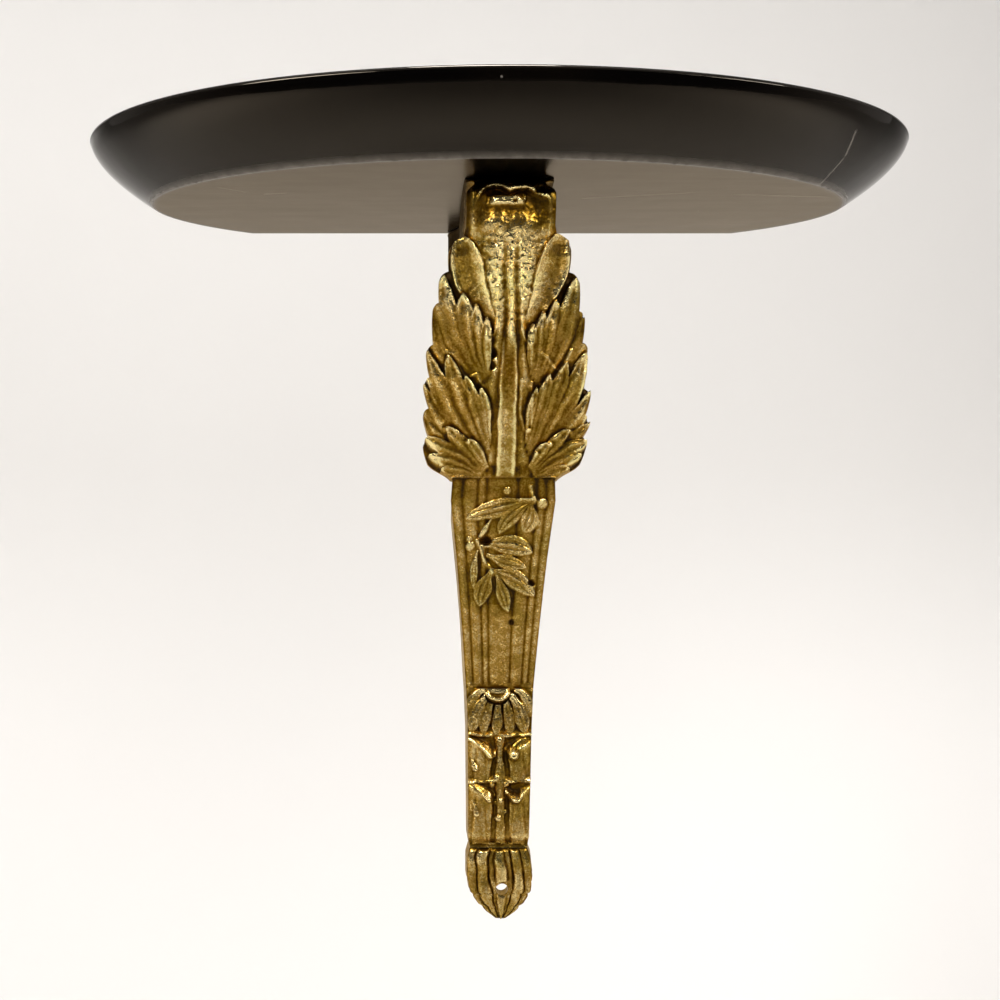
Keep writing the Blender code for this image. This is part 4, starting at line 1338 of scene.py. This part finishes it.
class LacquerSettings(bpy.types.PropertyGroup):
    """Colours and gloss of the lacquer."""

    black: FloatVectorProperty(
        name="Black", description="Colour of the lacquer", subtype="COLOR", size=3,
        default=(0.0006, 0.0005, 0.0006), min=0.0, max=1.0,
    )
    brown: FloatVectorProperty(
        name="Brown", description="Colour where it has faded", subtype="COLOR", size=3,
        default=(0.0022, 0.0015, 0.0011), min=0.0, max=1.0,
    )
    faded: FloatVectorProperty(
        name="Faded", description="Colour of the flat underside", subtype="COLOR", size=3,
        default=(0.012, 0.008, 0.004), min=0.0, max=1.0,
    )
    arris: FloatVectorProperty(
        name="Worn arris", description="Colour of the rubbed edge", subtype="COLOR", size=3,
        default=(0.20, 0.18, 0.155), min=0.0, max=1.0,
    )
    roughness: FloatProperty(name="Roughness", description="Roughness of the gloss", default=0.05, min=0.0)


class StageSettings(bpy.types.PropertyGroup):
    """Camera, floor and light."""

    camera_x: FloatProperty(
        name="Camera X", description="Camera place across", default=-0.0226, unit="LENGTH"
    )
    camera_y: FloatProperty(
        name="Camera Y", description="Camera place from the wall", default=-0.4542, unit="LENGTH"
    )
    camera_z: FloatProperty(name="Camera Z", description="Camera height", default=-0.116, unit="LENGTH")
    lens: FloatProperty(name="Lens", description="Focal length in millimetres", default=41.4)
    floor_z: FloatProperty(name="Floor", description="Height of the floor", default=-0.72, unit="LENGTH")
    back_y: FloatProperty(name="Backdrop", description="Distance of the backdrop", default=1.1, unit="LENGTH")
    paper: FloatVectorProperty(
        name="Paper", description="Colour of the floor and backdrop", subtype="COLOR", size=3,
        default=(0.90, 0.882, 0.862), min=0.0, max=1.0,
    )


def board_ring(settings, inset, height):
    """Points along the board's rim at an inset, from wall to wall round the front."""
    angles = np.linspace(0.0, 2.0 * math.pi, 2881)
    across, out = np.sin(angles), -np.cos(angles)
    normal = np.stack([across / settings.half_width, out / settings.front_radius], axis=1)
    normal /= np.linalg.norm(normal, axis=1)[:, None]
    x = settings.half_width * across - inset * normal[:, 0]
    y = settings.front_radius * out - inset * normal[:, 1] - settings.centre
    turned = np.roll(np.arange(len(x) - 1), len(x) // 2)
    x, y = x[turned], y[turned]
    keep = np.nonzero(y < 0.0)[0]
    first, last = keep[0], keep[-1]
    spots = [(np.interp(0.0, [y[first], y[first - 1]], [x[first], x[first - 1]]), 0.0)]
    spots += list(zip(x[first : last + 1], y[first : last + 1]))
    spots.append((np.interp(0.0, [y[last], y[last + 1]], [x[last], x[last + 1]]), 0.0))
    spots = np.array(spots)
    travelled = np.concatenate(([0.0], np.cumsum(np.hypot(*np.diff(spots, axis=0).T))))
    even = np.linspace(0.0, travelled[-1], settings.columns)
    ring = [np.interp(even, travelled, column) for column in spots.T]
    return np.column_stack([*ring, np.full(len(even), height)])


class SHELF_OT_board(bpy.types.Operator):
    """Build the lacquered board with its rounded belly and lip"""

    bl_idname = "shelf.board"
    bl_label = "Board"

    def execute(self, context):
        settings = context.scene.shelf_board
        top = settings.thickness / 2
        profile = []
        for turn in np.linspace(0.0, 90.0, 7):
            angle = math.radians(turn)
            drop = settings.lip * (1.0 - math.cos(angle))
            profile.append((settings.lip * (1.0 - math.sin(angle)), top - drop, 0.0))
        for share in np.linspace(0.0, 1.0, 33)[1:]:
            run = settings.belly_run * share**2
            drop = 2.0 * share * (1.0 - share) * settings.belly_turn + share**2 * settings.thickness
            if drop > settings.lip + 0.5 * MM:
                worn = float(bell(1.0 - share, 0.035))
                profile.append((run, top - drop, worn))
        for inset, worn in ((0.3, 0.75), (0.7, 0.3), (1.3, 0.05), (2.2, 0.0)):
            profile.append((settings.belly_run + inset * MM, -top, worn))
        rings = [board_ring(settings, inset, height) for inset, height, _ in profile]
        count = settings.columns
        index = np.arange(len(rings) * count).reshape(len(rings), count)
        faces = []
        for upper, lower in zip(index, index[1:]):
            for column in range(count - 1):
                faces.append((upper[column], upper[column + 1], lower[column + 1], lower[column]))
        faces.append(tuple(index[0][::-1]))
        faces.append(tuple(index[-1]))
        faces.append(tuple(index[:, 0]) + tuple(index[::-1, -1]))
        mesh = bpy.data.meshes.new("lacquered_board")
        points = np.concatenate(rings)
        mesh.from_pydata(points.tolist(), [], [[int(corner) for corner in face] for face in faces])
        insets, _, wear = np.array(profile).T
        store(mesh, "worn", np.repeat(wear, count))
        store(mesh, "under", np.repeat(np.clip((insets - settings.belly_run) / (1.6 * MM), 0.0, 1.0), count))
        item = add_object("lacquered_board", mesh)
        weld_and_face_out(item)
        material = lacquer_material(context.scene.shelf_lacquer)
        finish_piece(item, material, 24.0, "shelf_board")
        return {"FINISHED"}


def cast_piece(context, name, low_z, high_z, columns):
    """One stretch of the casting between two heights."""
    settings = context.scene.shelf_bracket
    places = even_places(low_z, high_z, settings.grid)
    if high_z is None:
        carved = places[places < ARM_START_ROW]
        places = np.concatenate([carved, np.linspace(ARM_START_ROW, len(SIDE_VIEW) - 1.0, ARM_ROWS)])
    ring, shades = casting_rings(places, columns, settings)
    item = mesh_from_rings(name, ring, shades)
    weld_and_face_out(item)
    return item


class SHELF_OT_leaf(bpy.types.Operator):
    """Build the acanthus leaf with its curled head and the arm under the board"""

    bl_idname = "shelf.leaf"
    bl_label = "Acanthus leaf"

    def execute(self, context):
        item = cast_piece(context, "brass_leaf", LEAF_FOOT, None, LEAF_COLUMNS)
        finish_brass(context, item, 70.0)
        return {"FINISHED"}


class SHELF_OT_grain(bpy.types.Operator):
    """Scatter small cast beads over the rough middle of the upper leaf"""

    bl_idname = "shelf.grain"
    bl_label = "Cast grain"

    def execute(self, context):
        leaf = bpy.data.objects["brass_leaf"]
        carrier = add_object("grain_carrier", leaf.data.copy())
        x, y, z = vertex_places(carrier.data)
        rough = bell(x - context.scene.shelf_bracket.offset, GRAIN_REACH, 4) * (y < GRAIN_FRONT)
        rough *= smooth_step(z, *GRAIN_FOOT) * (1.0 - smooth_step(z, *GRAIN_HEAD))
        store(carrier.data, "rough", rough)
        tree = grain_tree(bpy.data.materials["aged_brass"])
        scatter = carrier.modifiers.new("grain", "NODES")
        scatter.node_group = tree
        for socket in tree.interface.items_tree:
            if socket.name in GRAIN_INPUTS:
                scatter[socket.identifier] = GRAIN_INPUTS[socket.name]
        graph = context.evaluated_depsgraph_get()
        mesh = bpy.data.meshes.new_from_object(carrier.evaluated_get(graph))
        carrier.modifiers.remove(scatter)
        bpy.data.objects.remove(carrier)
        if len(mesh.vertices) == 0:
            raise RuntimeError("no cast grain was made")
        store(mesh, "hollow", np.full(len(mesh.vertices), GRAIN_SHADE))
        finish_brass(context, add_object("brass_grain", mesh), 80.0)
        return {"FINISHED"}


class SHELF_OT_stem(bpy.types.Operator):
    """Build the fluted stem with the laurel sprig and the folded leaves below it"""

    bl_idname = "shelf.stem"
    bl_label = "Stem"

    def execute(self, context):
        item = cast_piece(context, "brass_stem", NECK, LEAF_FOOT, STEM_COLUMNS)
        finish_brass(context, item, 70.0)
        return {"FINISHED"}


class SHELF_OT_tab(bpy.types.Operator):
    """Build the screw tab and bore its hole"""

    bl_idname = "shelf.tab"
    bl_label = "Screw tab"

    def execute(self, context):
        item = cast_piece(context, "brass_tab", TAB_TIP, NECK, TAB_COLUMNS)
        bm = bmesh.new()
        bmesh.ops.create_cone(
            bm, cap_ends=True, segments=48, radius1=HOLE_RADIUS, radius2=HOLE_RADIUS, depth=DRILL_LENGTH
        )
        level = Matrix.Rotation(math.radians(90.0), 3, "X")
        bmesh.ops.rotate(bm, verts=bm.verts, cent=(0, 0, 0), matrix=level)
        bmesh.ops.translate(bm, verts=bm.verts, vec=(HOLE_X, 0.0, HOLE_Z))
        mesh = bpy.data.meshes.new("drill")
        bm.to_mesh(mesh)
        bm.free()
        drill = add_object("drill", mesh)
        bore = item.modifiers.new("bore", "BOOLEAN")
        bore.operation = "DIFFERENCE"
        bore.solver = "EXACT"
        bore.object = drill
        graph = context.evaluated_depsgraph_get()
        bored = bpy.data.meshes.new_from_object(item.evaluated_get(graph))
        item.modifiers.remove(bore)
        item.data = bored
        bpy.data.objects.remove(drill)
        x, _, z = vertex_places(bored)
        away = np.hypot(x - HOLE_X, z - HOLE_Z)
        values = np.empty(len(x), np.float32)
        layer = bored.attributes["hollow"]
        layer.data.foreach_get("value", values)
        values[away < 1.02 * HOLE_RADIUS] = BORE_SHADE
        layer.data.foreach_set("value", values)
        finish_brass(context, item, 60.0)
        return {"FINISHED"}


def grain_tree(material):
    """Geometry nodes that scatter small cast beads over a surface."""
    tree = bpy.data.node_groups.new("cast_grain", "GeometryNodeTree")
    tree.interface.new_socket(name="Geometry", in_out="INPUT", socket_type="NodeSocketGeometry")
    tree.interface.new_socket(name="Geometry", in_out="OUTPUT", socket_type="NodeSocketGeometry")
    for name, value in GRAIN_INPUTS.items():
        kind = "NodeSocketInt" if isinstance(value, int) else "NodeSocketFloat"
        socket = tree.interface.new_socket(name=name, in_out="INPUT", socket_type=kind)
        socket.default_value = value
    nodes, links = tree.nodes, tree.links
    entry, leave = nodes.new("NodeGroupInput"), nodes.new("NodeGroupOutput")
    scatter = nodes.new("GeometryNodeDistributePointsOnFaces")
    rough = nodes.new("GeometryNodeInputNamedAttribute")
    rough.data_type = "FLOAT"
    rough.inputs["Name"].default_value = "rough"
    weight = nodes.new("ShaderNodeMath")
    weight.operation = "MULTIPLY"
    bead = nodes.new("GeometryNodeMeshIcoSphere")
    bead.inputs["Subdivisions"].default_value = 1
    size = nodes.new("FunctionNodeRandomValue")
    size.data_type = "FLOAT"
    size.inputs[2].default_value = 0.5
    size.inputs[3].default_value = 1.4
    place = nodes.new("GeometryNodeInstanceOnPoints")
    realize = nodes.new("GeometryNodeRealizeInstances")
    dress = nodes.new("GeometryNodeSetMaterial")
    dress.inputs["Material"].default_value = material
    links.new(entry.outputs["Geometry"], scatter.inputs["Mesh"])
    links.new(rough.outputs["Attribute"], weight.inputs[0])
    links.new(entry.outputs["Density"], weight.inputs[1])
    links.new(weight.outputs[0], scatter.inputs["Density"])
    links.new(entry.outputs["Seed"], scatter.inputs["Seed"])
    links.new(entry.outputs["Size"], bead.inputs["Radius"])
    links.new(scatter.outputs["Points"], place.inputs["Points"])
    links.new(bead.outputs["Mesh"], place.inputs["Instance"])
    links.new(size.outputs[1], place.inputs["Scale"])
    links.new(place.outputs["Instances"], realize.inputs["Geometry"])
    links.new(realize.outputs["Geometry"], dress.inputs["Geometry"])
    links.new(dress.outputs["Geometry"], leave.inputs["Geometry"])
    return tree


def soft_light(name, place, target, size, power, spread):
    """One soft area light, turned towards a point."""
    data = bpy.data.lights.new(name, "AREA")
    data.shape = "RECTANGLE"
    data.size, data.size_y = size
    data.energy = power
    data.color = LIGHT_COLOUR
    data.spread = math.radians(spread)
    light = add_object(name, data)
    light.location = place
    light.rotation_mode = "QUATERNION"
    light.rotation_quaternion = (Vector(place) - Vector(target)).to_track_quat("Z", "Y")
    light.visible_camera = False
    return light


def studio_world(context):
    """A pale room that is darker behind the camera, as the gloss of the board shows."""
    context.scene.world = bpy.data.worlds.new("studio")
    room = Paint(context.scene.world, "Background", "Generated")
    stops = [(position, (level, level * 0.97, level * 0.93)) for position, level in ROOM_LEVELS]
    heights = room.ramp(room.axis("Z") * 0.5 + 0.5, stops)
    reach = {"Value": room.axis("Y"), "From Min": -0.65, "From Max": 0.05}
    front = room.node("ShaderNodeMapRange", None, reach).outputs["Result"]
    pale = room.mix(front, heights, ROOM_BACK)
    seen = room.node("ShaderNodeLightPath").outputs["Is Camera Ray"]
    room.shade({"Color": room.mix(seen, pale, ROOM_SEEN)})


class SHELF_OT_stage(bpy.types.Operator):
    """Set the camera, the pale floor with its curved backdrop, and soft light"""

    bl_idname = "shelf.stage"
    bl_label = "Stage"

    def execute(self, context):
        settings = context.scene.shelf_stage
        data = bpy.data.cameras.new("camera")
        data.lens = settings.lens
        data.sensor_width = SENSOR_WIDTH
        data.shift_x = CAMERA_SHIFT
        camera = add_object("camera", data)
        camera.location = (settings.camera_x, settings.camera_y, settings.camera_z)
        camera.rotation_euler = (math.radians(90.0), 0.0, 0.0)
        context.scene.camera = camera
        floor, reach = settings.floor_z, settings.back_y - BEND_START
        outline = [(FLOOR_START, floor), (BEND_START, floor)]
        for angle in np.radians(np.linspace(0.0, 90.0, 13)[1:]).tolist():
            outline.append((BEND_START + reach * math.sin(angle), floor + reach * (1.0 - math.cos(angle))))
        outline.append((settings.back_y, BACKDROP_TOP))
        points = [(x, y, z) for y, z in outline for x in (-BACKDROP_REACH, BACKDROP_REACH)]
        faces = [(2 * n, 2 * n + 1, 2 * n + 3, 2 * n + 2) for n in range(len(outline) - 1)]
        mesh = bpy.data.meshes.new("backdrop")
        mesh.from_pydata(points, [], faces)
        mesh.shade_smooth()
        backdrop = add_object("backdrop", mesh)
        paint = Paint(bpy.data.materials.new("paper"))
        low = [channel * 0.985 for channel in settings.paper]
        colour = paint.mix(paint.noise(3.0, 2.0, 0.5), low, settings.paper)
        paint.shade({"Base Color": colour, "Roughness": 0.9})
        mesh.materials.append(paint.owner)
        studio_world(context)
        lights = [soft_light(*light) for light in LIGHTS]
        lights[-1].light_linking.receiver_collection = bpy.data.collections.new("brass_only")
        context.scene.view_settings.view_transform = "Standard"
        return {"FINISHED"}


class SHELF_PT_panel(bpy.types.Panel):
    """The shelf's pieces in the sidebar"""

    bl_idname = "SHELF_PT_panel"
    bl_label = "Bracket Shelf"
    bl_space_type = "VIEW_3D"
    bl_region_type = "UI"
    bl_category = "Bracket Shelf"

    def draw(self, context):
        for operator in OPERATORS:
            self.layout.operator(operator.bl_idname, text=operator.bl_label)
        for name in SETTINGS:
            box = self.layout.box()
            group = getattr(context.scene, name)
            for key in group.__annotations__:
                box.prop(group, key)


OPERATORS = (SHELF_OT_stage, SHELF_OT_board, SHELF_OT_leaf, SHELF_OT_grain, SHELF_OT_stem, SHELF_OT_tab)
SETTINGS = {
    "shelf_board": BoardSettings,
    "shelf_bracket": BracketSettings,
    "shelf_brass": BrassSettings,
    "shelf_lacquer": LacquerSettings,
    "shelf_stage": StageSettings,
}


def register():
    """Register the settings, the operators and the panel."""
    for name, group in SETTINGS.items():
        bpy.utils.register_class(group)
        setattr(bpy.types.Scene, name, PointerProperty(type=group))
    for item in (*OPERATORS, SHELF_PT_panel):
        bpy.utils.register_class(item)


def unregister():
    """Take everything out again."""
    for item in (SHELF_PT_panel, *reversed(OPERATORS)):
        bpy.utils.unregister_class(item)
    for name, group in SETTINGS.items():
        delattr(bpy.types.Scene, name)
        bpy.utils.unregister_class(group)


def main():
    """Build the whole shelf."""
    register()
    bpy.ops.shelf.stage()
    bpy.ops.shelf.board()
    bpy.ops.shelf.leaf()
    bpy.ops.shelf.grain()
    bpy.ops.shelf.stem()
    bpy.ops.shelf.tab()


if __name__ == "__main__":
    main()
